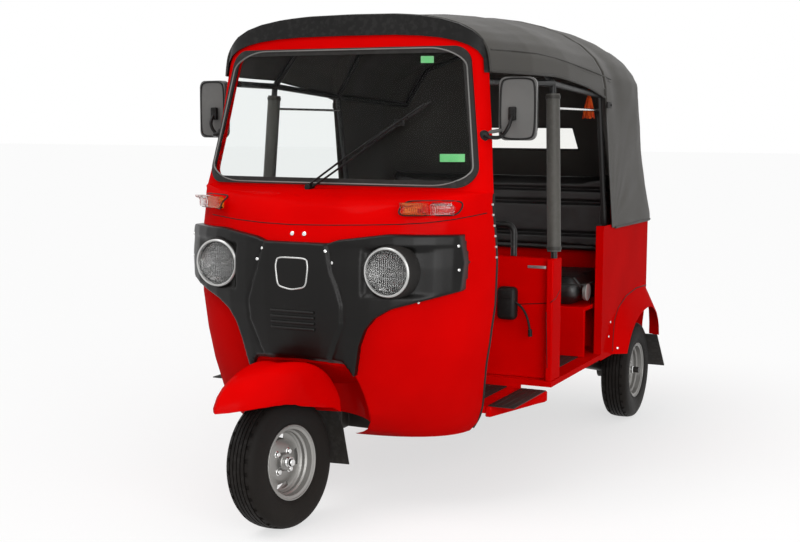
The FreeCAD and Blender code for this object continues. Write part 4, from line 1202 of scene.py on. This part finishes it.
def wiperMesh(pivot, tip):
    along = (tip - pivot).normalized()
    off = along.cross(Vector((0.0, 1.0, 0.0))).normalized()
    elbow = pivot + along * 0.055
    middle, end = pivot.lerp(tip, 0.45) + Vector((0.0, -0.010, 0.0)), pivot.lerp(tip, 0.78)
    arms = [bar([pivot + off * side * 0.006, elbow + off * side * 0.008, middle + off * side * 0.008,
                 end + off * side * 0.005], wiper["arm"]) for side in (-1.0, 1.0)]
    boss = spun([(-0.020, 0.0), (-0.020, 0.013), (0.004, 0.013), (0.010, 0.010), (0.012, 0.0)], 32)
    clamp = block((-0.016, -0.011, -0.010), (0.016, 0.006, 0.010), 0.003)
    placed(clamp, Matrix.Translation(end))
    grip = Vector((0.0, -0.006, 0.0)) + off * 0.003
    claws = [bar([pivot.lerp(tip, share) + grip, pivot.lerp(tip, share) - grip], 0.0028)
             for share in (0.52, 0.66, 0.84, 0.97)]
    spine = bar([pivot.lerp(tip, share)
                 + Vector((0.0, -0.006 - 0.010 * math.sin(math.pi * (share - 0.5) * 2.0), 0.0))
                 for share in (0.50, 0.60, 0.72, 0.84, 0.93, 1.0)], 0.0036)
    return together(arms + claws + [placed(boss, aimed(pivot, (0.0, -1.0, 0.25))), clamp, spine])


wiperPivot, wiperTip = Vector(wiper["pivot"]), Vector(wiper["tip"])
addPiece("wiperArms", wiperMesh(wiperPivot, wiperTip), "satinBlack", cadNodes=("wiper",))
bladeSpots = [wiperPivot.lerp(wiperTip, share) for share in wiper["bladeSpan"]]
bladeLine = [(onFront(glassTree, spot.x, spot.z)[0] or spot) + Vector((0.0, -0.0045, 0.0))
             for spot in bladeSpots]
addPiece("wiperBlade", bar(bladeLine, wiper["blade"]), "blackRubber", "rubber")


def indicatorParts():
    # Amber inner and clear outer lens on a black base, following the node's own front
    tree = clipSurfaces("indicators")
    low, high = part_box("indicators")
    z0, z1 = low[2] + 0.002, high[2] - 0.002
    parts = []
    for x0, x1 in ((0.326, 0.404), (0.408, 0.470)):
        bm = bmesh.new()
        bmesh.ops.create_grid(bm, x_segments=10, y_segments=6, size=0.5)
        for vert in bm.verts:
            across, up = vert.co.x + 0.5, vert.co.y + 0.5
            x, z = x0 + (x1 - x0) * across, z0 + (z1 - z0) * up
            place = onFront(tree, x, z)[0]
            crown = 0.006 * (1.0 - (2.0 * up - 1.0) ** 4) * (1.0 - (2.0 * across - 1.0) ** 6)
            vert.co = (place or Vector((x, -0.80, z))) + Vector((0.25 * crown, -crown, 0.0))
        deep = bmesh.ops.extrude_face_region(bm, geom=bm.faces[:])
        back = [item for item in deep["geom"] if isinstance(item, bmesh.types.BMVert)]
        bmesh.ops.translate(bm, vec=(-0.004, 0.014, 0.0), verts=back)
        parts.append(tidied(bm))
    return parts


amberPart, clearPart = indicatorParts()
addPiece("indicatorAmber", withTwin(amberPart), "amberLens", cadNodes=("indicators",))
addPiece("indicatorClear", withTwin(clearPart), "clearLens", "lamp_lens")
indicatorTree = clipSurfaces("front_cowl", "windscreen_frame", "indicators")
baseLow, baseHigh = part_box("indicators")[0][2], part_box("indicators")[1][2]
baseMiddle = (baseLow + baseHigh) / 2.0
baseSpots = ((0.324, baseLow), (0.36, baseLow - 0.001), (0.43, baseLow - 0.001), (0.473, baseLow),
             (0.475, baseMiddle), (0.473, baseHigh), (0.43, baseHigh + 0.001), (0.36, baseHigh + 0.001),
             (0.324, baseHigh), (0.322, baseMiddle))
baseLine = [onFront(indicatorTree, x, z)[0] for x, z in baseSpots]
addPiece("indicatorSeals", withTwin(bar(baseLine, 0.0026, cyclic=True)), "blackRubber", "rubber")
print("front ready")


# Mirrors: glass on the rear face, a rolled rim and a curved bracket on the front
mirrorTree = clipSurfaces("mirrors")
mirror = {"wide": 0.119, "frontRim": 0.0032, "backRim": 0.0030, "stalk": 0.0062}


def mirrorParts():
    low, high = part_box("mirrors")
    z0, z1, x1 = low[2], high[2], high[0]
    x0 = x1 - mirror["wide"]
    back, rim = [], []
    spots = [(0.16, 0.01), (0.5, 0.0), (0.84, 0.01), (0.985, 0.07), (1.0, 0.5), (0.985, 0.93), (0.84, 0.99),
             (0.5, 1.0), (0.16, 0.99), (0.015, 0.93), (0.0, 0.5), (0.015, 0.07)]
    for across, up in spots:
        x, z = x0 + 0.004 + (x1 - x0 - 0.008) * across, z0 + 0.004 + (z1 - z0 - 0.008) * up
        place = nextTo(mirrorTree, (x, -2.0, z), (0.0, 1.0, 0.0))[0]
        if place:
            rim.append(place)
        behind = nextTo(mirrorTree, (x, 2.0, z), (0.0, -1.0, 0.0))[0]
        if behind:
            back.append(behind)
    glass = bmesh.new()
    bmesh.ops.create_grid(glass, x_segments=8, y_segments=12, size=0.5)
    for vert in glass.verts:
        x = x0 + 0.010 + (x1 - x0 - 0.020) * (vert.co.x + 0.5)
        z = z0 + 0.010 + (z1 - z0 - 0.020) * (vert.co.y + 0.5)
        place = nextTo(mirrorTree, (x, 2.0, z), (0.0, -1.0, 0.0))[0] or Vector((x, -0.49, z))
        vert.co = place + Vector((0.0, 0.0012, 0.0))
    bmesh.ops.solidify(glass, geom=glass.faces[:], thickness=0.0015)
    rims = together((bar(rim, mirror["frontRim"], cyclic=True), bar(back, mirror["backRim"], cyclic=True)))
    return rims, tidied(glass), x0, z0


mirrorRims, mirrorGlass, mirrorX, mirrorZ = mirrorParts()
dressNode("mirrors", "mirrorShell", 0.003)
addPiece("mirrorRims", withTwin(mirrorRims), "satinBlack", "black_plastic")
addPiece("mirrorGlass", withTwin(mirrorGlass), "mirrorFace", "chrome")
plateSpot = nextTo(mirrorTree, (mirrorX + 0.045, -2.0, mirrorZ + 0.085), (0.0, 1.0, 0.0))[0]
pillarSpot = nextTo(frameTree, (0.497, -2.0, 1.222), (0.0, 1.0, 0.0))[0]
plateX, plateY, plateZ = plateSpot
stalk = bar([pillarSpot + Vector((-0.004, 0.004, 0.0)), pillarSpot + Vector((0.020, -0.020, -0.004)),
             Vector((plateX - 0.030, plateY - 0.030, 1.214)), Vector((plateX - 0.006, plateY - 0.036, 1.240)),
             Vector((plateX + 0.004, plateY - 0.026, plateZ - 0.02)),
             plateSpot + Vector((0.0, 0.002, 0.004))], mirror["stalk"])
clampBlock = block((-0.012, -0.009, -0.022), (0.012, 0.009, 0.022), 0.004)
placed(clampBlock, Matrix.Translation(plateSpot + Vector((0.0, -0.006, 0.0))))
foot = spun([(-0.004, 0.0), (-0.004, 0.018), (0.002, 0.017), (0.006, 0.011), (0.006, 0.0)], 32)
placed(foot, aimed(pillarSpot, (0.45, -0.9, 0.0)))
addPiece("mirrorStalks", withTwin(together((stalk, clampBlock, foot))), "satinBlack", "black_plastic")
print("mirrors ready")


# Body: dark bars painted as the shade in pressed lines, folds and joins, rivets and slots of the panels
quarterTree = clipSurfaces("quarter_panels", "rear_mudguards")
partitionTree = clipSurfaces("partition")
doorwayTree = clipSurfaces("quarter_panels", "passenger_seat_base", "partition", "floor_pan")
# Dark bars painted where shade falls in pressed lines, folds and the flare's join
seams = {
    "flareJoinShade": (quarterTree, 0.0022, ((646, 285), (636, 288), (626, 296), (618, 308), (614.4, 320), (613, 336),
                                        (612.4, 351))),
    "partitionPressShade": (partitionTree, 0.0016, ((502, 305), (524, 304), (550, 303), (556, 298), (560, 290))),
    "partitionFoldShade": (partitionTree, 0.0014, ((546, 312), (546.5, 340), (547, 368))),
    "seatBasePressShade": (doorwayTree, 0.0014, ((564, 291), (578, 291), (590.5, 291), (590.5, 300), (590.5, 308))),
}
for label, (surface, radius, marks) in seams.items():
    line = seenLine(surface, marks, 5, -0.0003)
    if len(line) > 3:
        addPiece(label, withTwin(bar(line, radius)), "paintedGrooveShade", "red_paint")
flareRivets = studsAt(quarterTree, ((610.3, 322), (608.5, 336.5), (617.5, 348)), 0.0052, True)
addPiece("flareRivets", flareRivets, "brightMetal", "chrome")
slotSpot = seenAt(partitionTree, 537, 267)[0]
pocketLip = block((-0.034, -0.0035, -0.0050), (0.034, 0.0012, 0.0050), 0.0012)
addPiece("partitionSlot", placed(pocketLip, Matrix.Translation(slotSpot)), "satinSilver", "chrome")


def leverCase():
    # Black lever housing on the front of the partition, with its curved lever
    y = seenAt(partitionTree, 505, 300)[0].y
    case = block((0.392, y - 0.042, 0.572), (0.464, y + 0.002, 0.690), 0.018, 4)
    bend = ((0.450, 0.030, 0.640), (0.476, 0.034, 0.632), (0.500, 0.036, 0.606), (0.514, 0.036, 0.570),
            (0.520, 0.036, 0.535))
    lever = bar([Vector((x, y - ahead, z)) for x, ahead, z in bend], 0.0042)
    knob = bar([Vector((x, y - 0.036, z)) for x, z in ((0.519, 0.545), (0.5205, 0.520))], 0.0075)
    lid = block((0.404, y - 0.046, 0.650), (0.452, y - 0.040, 0.680), 0.0025)
    return together((case, lever, knob, lid))


addPiece("leverHousing", leverCase(), "mouldedBlack", "black_plastic")


# Rails and tassel under the roof
hoopTree = clipSurfaces("roof_frame", "pillar_pads")


def legSpot(y, z):
    # The outside of a hoop's left leg near a place along the body
    for step in range(40):
        shift = (step // 2) * 0.004 * (1.0 if step % 2 else -1.0)
        place = nextTo(hoopTree, (2.0, y + shift, z), (-1.0, 0.0, 0.0))[0]
        if place and place.x > 0.4:
            return place
    return Vector((0.58, y, z))


def sideRails():
    ends = [legSpot(y, 1.315) + Vector((-0.010, 0.0, 0.0)) for y in (-0.125, 0.404)]
    return withTwin(bar(ends, 0.0052, smooth=False))


addPiece("sideRails", sideRails(), "brightMetal", "chrome")


def tasselParts():
    hook = legSpot(0.404, 1.398) + Vector((-0.012, 0.0, 0.0))
    top = Vector((hook.x - 0.020, hook.y - 0.012, 1.386))
    cord = bar([hook, hook + Vector((-0.012, -0.006, 0.002)), top], 0.0016)
    knot = spun([(-0.008, 0.0), (-0.007, 0.006), (-0.002, 0.009), (0.004, 0.0075), (0.009, 0.004), (0.010, 0.0)], 24)
    placed(knot, aimed(top, (0.0, 0.0, 1.0)))
    strands = [cord, knot]
    for step in range(26):
        turn, spread = step * 2.39996, 0.0045 * math.sqrt(step)
        away = Vector((spread * math.cos(turn), spread * math.sin(turn), 0.0))
        foot = top + away + Vector((0.0, 0.0, -0.098 + 0.006 * math.sin(step * 1.7)))
        middle = top.lerp(foot, 0.45) + away * 0.35
        strands.append(bar([top + Vector((0.0, 0.0, -0.004)), middle, foot], 0.0017, fineness=1))
    return together(strands)


addPiece("tassel", tasselParts(), "tasselThread", "red_paint")


def padStitch():
    # A raised seam down each pillar pad and a band at both ends
    low, high = Vector((0.588, -0.160, 0.770)), Vector((0.560, -0.125, 1.400))
    padTree = clipSurfaces("pillar_pads")
    line = []
    for step in range(14):
        spot = low.lerp(high, 0.09 + 0.82 * step / 13.0)
        place = padTree.ray_cast(spot + Vector((0.10, 0.12, 0.0)), Vector((-0.64, -0.768, 0.0)))[0]
        if place:
            line.append(place)
    rings = []
    for share in (0.095, 0.925):
        spot, way = low.lerp(high, share), (high - low).normalized()
        ring = spun([(-0.006, 0.0235), (-0.006, 0.0256), (0.0, 0.0264), (0.006, 0.0256), (0.006, 0.0235)], 40)
        rings.append(placed(ring, aimed(spot, way)))
    return withTwin(together(rings + ([bar(line, 0.0018)] if len(line) > 3 else [])))


addPiece("pillarPadTrim", padStitch(), "topPiping", "grey_vinyl")


# Floor: ribbed mats on the deck, the passenger floor and the steps
mats = {"ribGap": 0.026, "ribHalf": 0.004, "ribHigh": 0.0016}


def ribRows(x0, x1, y0, y1, top):
    count = int((x1 - x0) / mats["ribGap"])
    start = (x0 + x1 - (count - 1) * mats["ribGap"]) / 2.0
    half, places = mats["ribHalf"], [start + step * mats["ribGap"] for step in range(count)]
    return [block((x - half, y0, top - 0.001), (x + half, y1, top + mats["ribHigh"]), 0.0008, 1) for x in places]


frontRibs = ribRows(-0.430, 0.430, -0.530, -0.245, 0.3382)
rearRibs = ribRows(-0.530, 0.530, -0.080, 0.280, 0.3692)
addPiece("matRibs", together(frontRibs + rearRibs), "blackRubber", "rubber")
stepMat = [block((0.494, -0.536, 0.3335), (0.586, -0.220, 0.3372),
                 0.0012)] + ribRows(0.498, 0.582, -0.530, -0.226, 0.3372)
addPiece("stepMats", withTwin(together(stepMat)), "blackRubber", "rubber")


# Driver's controls: gauges, hand levers and the brake pedal
gauges = {"dials": ((-0.045, 0.978, 0.036), (0.048, 0.978, 0.030)), "ticks": 9, "firstTick": -120.0,
          "tickStep": 30.0, "needle": -70.0}


def gaugeParts():
    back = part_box("instrument_panel")[1][1]
    metal, faces = [], []
    for x, z, r in gauges["dials"]:
        place = Matrix.Translation((x, back, z)) @ turned("Z", 90.0)
        ring = spun([(-0.002, r - 0.004), (0.004, r - 0.004), (0.006, r - 0.002), (0.005, r),
                     (-0.002, r + 0.001)], 48)
        face = spun([(-0.001, 0.0), (-0.001, r - 0.003), (0.001, r - 0.003), (0.001, 0.0)], 48)
        metal.append(placed(ring, place))
        faces.append(placed(face, place))
        for step in range(gauges["ticks"]):
            tick = block((0.0005, -0.0008, r * 0.70), (0.0018, 0.0008, r * 0.86), 0.0002, 1)
            metal.append(placed(tick, place @ turned("X", gauges["firstTick"] + gauges["tickStep"] * step)))
        needle = block((0.0012, -0.0009, -r * 0.12), (0.0024, 0.0009, r * 0.72), 0.0003, 1)
        metal.append(placed(needle, place @ turned("X", gauges["needle"])))
    for step in range(3):
        metal.append(studHead((-0.03 + 0.03 * step, back, 0.925), (0.0, 1.0, 0.0), 0.007))
    return together(metal), together(faces)


gaugeMetal, gaugeFaces = gaugeParts()
addPiece("gaugeRings", gaugeMetal, "satinSilver", "chrome")
addPiece("gaugeFaces", gaugeFaces, "mouldedBlack", "black_plastic")


def steerPoint(up, ahead=0.0, side=0.0):
    # A point up the steering axis, straight ahead of it and to its left
    rake = math.radians(wheel["rake"])
    y = wheel["steerFoot"][1] + up * math.sin(rake) + -ahead * math.cos(rake)
    return Vector((side, y, up * math.cos(rake) + ahead * math.sin(rake)))


def controlParts():
    turn = atSteerRest(Matrix.Identity(4))
    parts = []
    for side in (-1.0, 1.0):
        root, end = steerPoint(1.075, -0.080, side * 0.170), steerPoint(1.075, -0.150, side * 0.285)
        ahead = steerPoint(1.0, 0.040) - steerPoint(1.0, 0.0)
        grip = (end - root).normalized()
        lever = bar([root + ahead * 0.35, root + ahead * 0.9 + grip * 0.01,
                     root.lerp(end, 0.45) + ahead * 1.05, root.lerp(end, 0.8) + ahead * 0.95,
                     end + ahead * 0.9], 0.0042)
        perch = placed(block((-0.016, -0.012, -0.012), (0.016, 0.012, 0.012), 0.004),
                       Matrix.Translation(root + ahead * 0.28))
        button = studHead(root + Vector((0.0, 0.0, 0.014)) - grip * 0.016, (0.0, 0.3, 1.0), 0.007)
        parts += [lever, perch, button]
    return placed(together(parts), turn)


addPiece("handLevers", controlParts(), "satinBlack", "black_steel", "steering")
pedalParts = [bar([Vector((-0.150, -0.560, 0.336)), Vector((-0.150, -0.575, 0.370)),
                   Vector((-0.150, -0.600, 0.400))], 0.006),
              placed(block((-0.032, -0.026, -0.005), (0.032, 0.026, 0.005),
                           0.003), Matrix.Translation((-0.150, -0.602, 0.404)) @ turned("X", 50.0))]
addPiece("brakePedal", together(pedalParts), "blackSteel", "black_steel")


# Rear: louvres and latch of the engine door, lamp lenses and plate screws
doorTree = clipSurfaces("engine_door")
louvres = {"count": 5, "lowest": 0.4825, "pitch": 0.036, "face": 1.2055,
           "across": (-0.222, -0.215, 0.0, 0.215, 0.222), "hood": 0.0056}


def louvreRows():
    # A pressed hood over each slot of the door
    heights = [louvres["lowest"] + louvres["pitch"] * step for step in range(louvres["count"])]
    return together([bar([Vector((x, louvres["face"], z)) for x in louvres["across"]], louvres["hood"])
                     for z in heights])


addPiece("doorLouvres", louvreRows(), "redPaint", "red_paint", "engine_door")
latchSpot = nextTo(doorTree, (0.0, 3.0, 0.447), (0.0, -1.0, 0.0))[0] or Vector((0.0, 1.205, 0.447))
latchBoss = spun([(-0.002, 0.0), (-0.002, 0.017), (0.003, 0.0165), (0.006, 0.012), (0.0065, 0.0)], 40)
placed(latchBoss, aimed(latchSpot, (0.0, 1.0, 0.0)))
latchHandle = block((-0.030, 0.004, -0.006), (0.030, 0.012, 0.006), 0.003)
placed(latchHandle, Matrix.Translation(latchSpot))
addPiece("doorLatch", together((latchBoss, latchHandle)), "brightMetal", "chrome", "engine_door")


def tailLampParts():
    low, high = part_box("tail_lamps")
    tree = clipSurfaces("tail_lamps")
    lenses, rims = [], []
    for z0, z1 in ((low[2] + 0.004, low[2] + 0.062), (low[2] + 0.066, high[2] - 0.004)):
        x0, x1 = high[0] - 0.056, high[0] - 0.004
        place = nextTo(tree, ((x0 + x1) / 2.0, 3.0, (z0 + z1) / 2.0), (0.0, -1.0, 0.0))[0]
        lens = block((x0, place.y - 0.004, z0), (x1, place.y + 0.004, z1), 0.0035, 3)
        lenses.append(lens)
        rims.append(bar([Vector((x, place.y + 0.0005, z)) for x, z in
                         ((x0, z0), (x1, z0), (x1, z1), (x0, z1))], 0.0022, smooth=False, cyclic=True))
    return lenses, rims


(lowLens, highLens), lensRims = tailLampParts()
addPiece("tailLensRed", withTwin(lowLens), "redLens", "red_lens")
addPiece("tailLensAmber", withTwin(highLens), "amberLens", "amber_lens")
addPiece("tailLensRims", withTwin(together(lensRims)), "blackRubber", "rubber")
plateTree = clipSurfaces("number_plate")
screwSpots = [nextTo(plateTree, (x, 3.0, 0.8235), (0.0, -1.0, 0.0))[0] or (x, 1.208, 0.8235)
              for x in (-0.110, 0.110)]
plateScrews = [studHead(spot, (0.0, 1.0, 0.0), 0.0075) for spot in screwSpots]
addPiece("plateScrews", together(plateScrews), "brightMetal", "chrome")


# Engine: cooling fins and case bolts round the plain block
fins = {"count": 11, "lowest": 0.045, "pitch": 0.024, "thick": 0.006, "boltRows": (-0.15, -0.05, 0.05, 0.15)}


def finsMesh():
    low, high = [Vector(corner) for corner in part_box("engine")]
    parts = []
    for step in range(fins["count"]):
        z = low.z + fins["lowest"] + fins["pitch"] * step
        parts.append(block((low.x - 0.010, low.y - 0.008, z),
                           (high.x + 0.010, high.y + 0.010, z + fins["thick"]), 0.0015, 1))
    for x in fins["boltRows"]:
        for z in (low.z + 0.022, high.z - 0.022):
            parts.append(hexHead((x, high.y, z), (0.0, 1.0, 0.0), 0.008, 0.007))
    return together(parts)


addPiece("engineFins", finsMesh(), "castMetal", "engine_metal")
print("body details ready")


# Every other CAD node keeps its shape, with merged facets, softened edges and its own finish
dressed = {"front_cowl": ("redPaint", 0.0), "windscreen_frame": ("redPaint", 0.0),
           "quarter_panels": ("redPaint", 0.0), "rear_mudguards": ("redPaint", 0.0),
           "rear_panel": ("redPaint", 0.0), "engine_door": ("redPaint", 0.001),
           "partition": ("redPaint", 0.004), "driver_seat_base": ("redPaint", 0.002),
           "passenger_seat_base": ("redPaint", 0.003), "side_steps": ("redPaint", 0.004),
           "floor_pan": ("redPaint", 0.001), "front_mudguard": ("redPaint", 0.0),
           "roof_visor": ("satinBlack", 0.0), "windscreen_seal": ("blackRubber", 0.0),
           "wheel_housing": ("redPaint", 0.0), "chassis_frame": ("blackSteel", 0.002),
           "rear_suspension": ("blackSteel", 0.0), "engine": ("castMetal", 0.01),
           "exhaust": ("blackSteel", 0.0), "rear_bumper": ("blackSteel", 0.001),
           "roof_frame": ("blackSteel", 0.0), "pillar_pads": ("greyVinyl", 0.0),
           "grab_rail": ("blackSteel", 0.0), "instrument_panel": ("mouldedBlack", 0.002),
           "mud_flaps": ("blackRubber", 0.0), "front_mud_flap": ("blackRubber", 0.0),
           "floor_mats": ("blackRubber", 0.001), "steering_column": ("blackSteel", 0.0),
           "handlebar": ("blackSteel", 0.0), "handlebar_grips": ("blackRubber", 0.001),
           "number_plate": ("platePaint", 0.0005), "tail_lamps": ("redLens", 0.001),
           "windscreen_glass": ("screenGlass", 0.0),}
for nodeName, (finishName, bevelWidth) in dressed.items():
    dressNode(nodeName, finishName, bevelWidth)
print("panels dressed")

scene.view_settings.view_transform = "Standard"
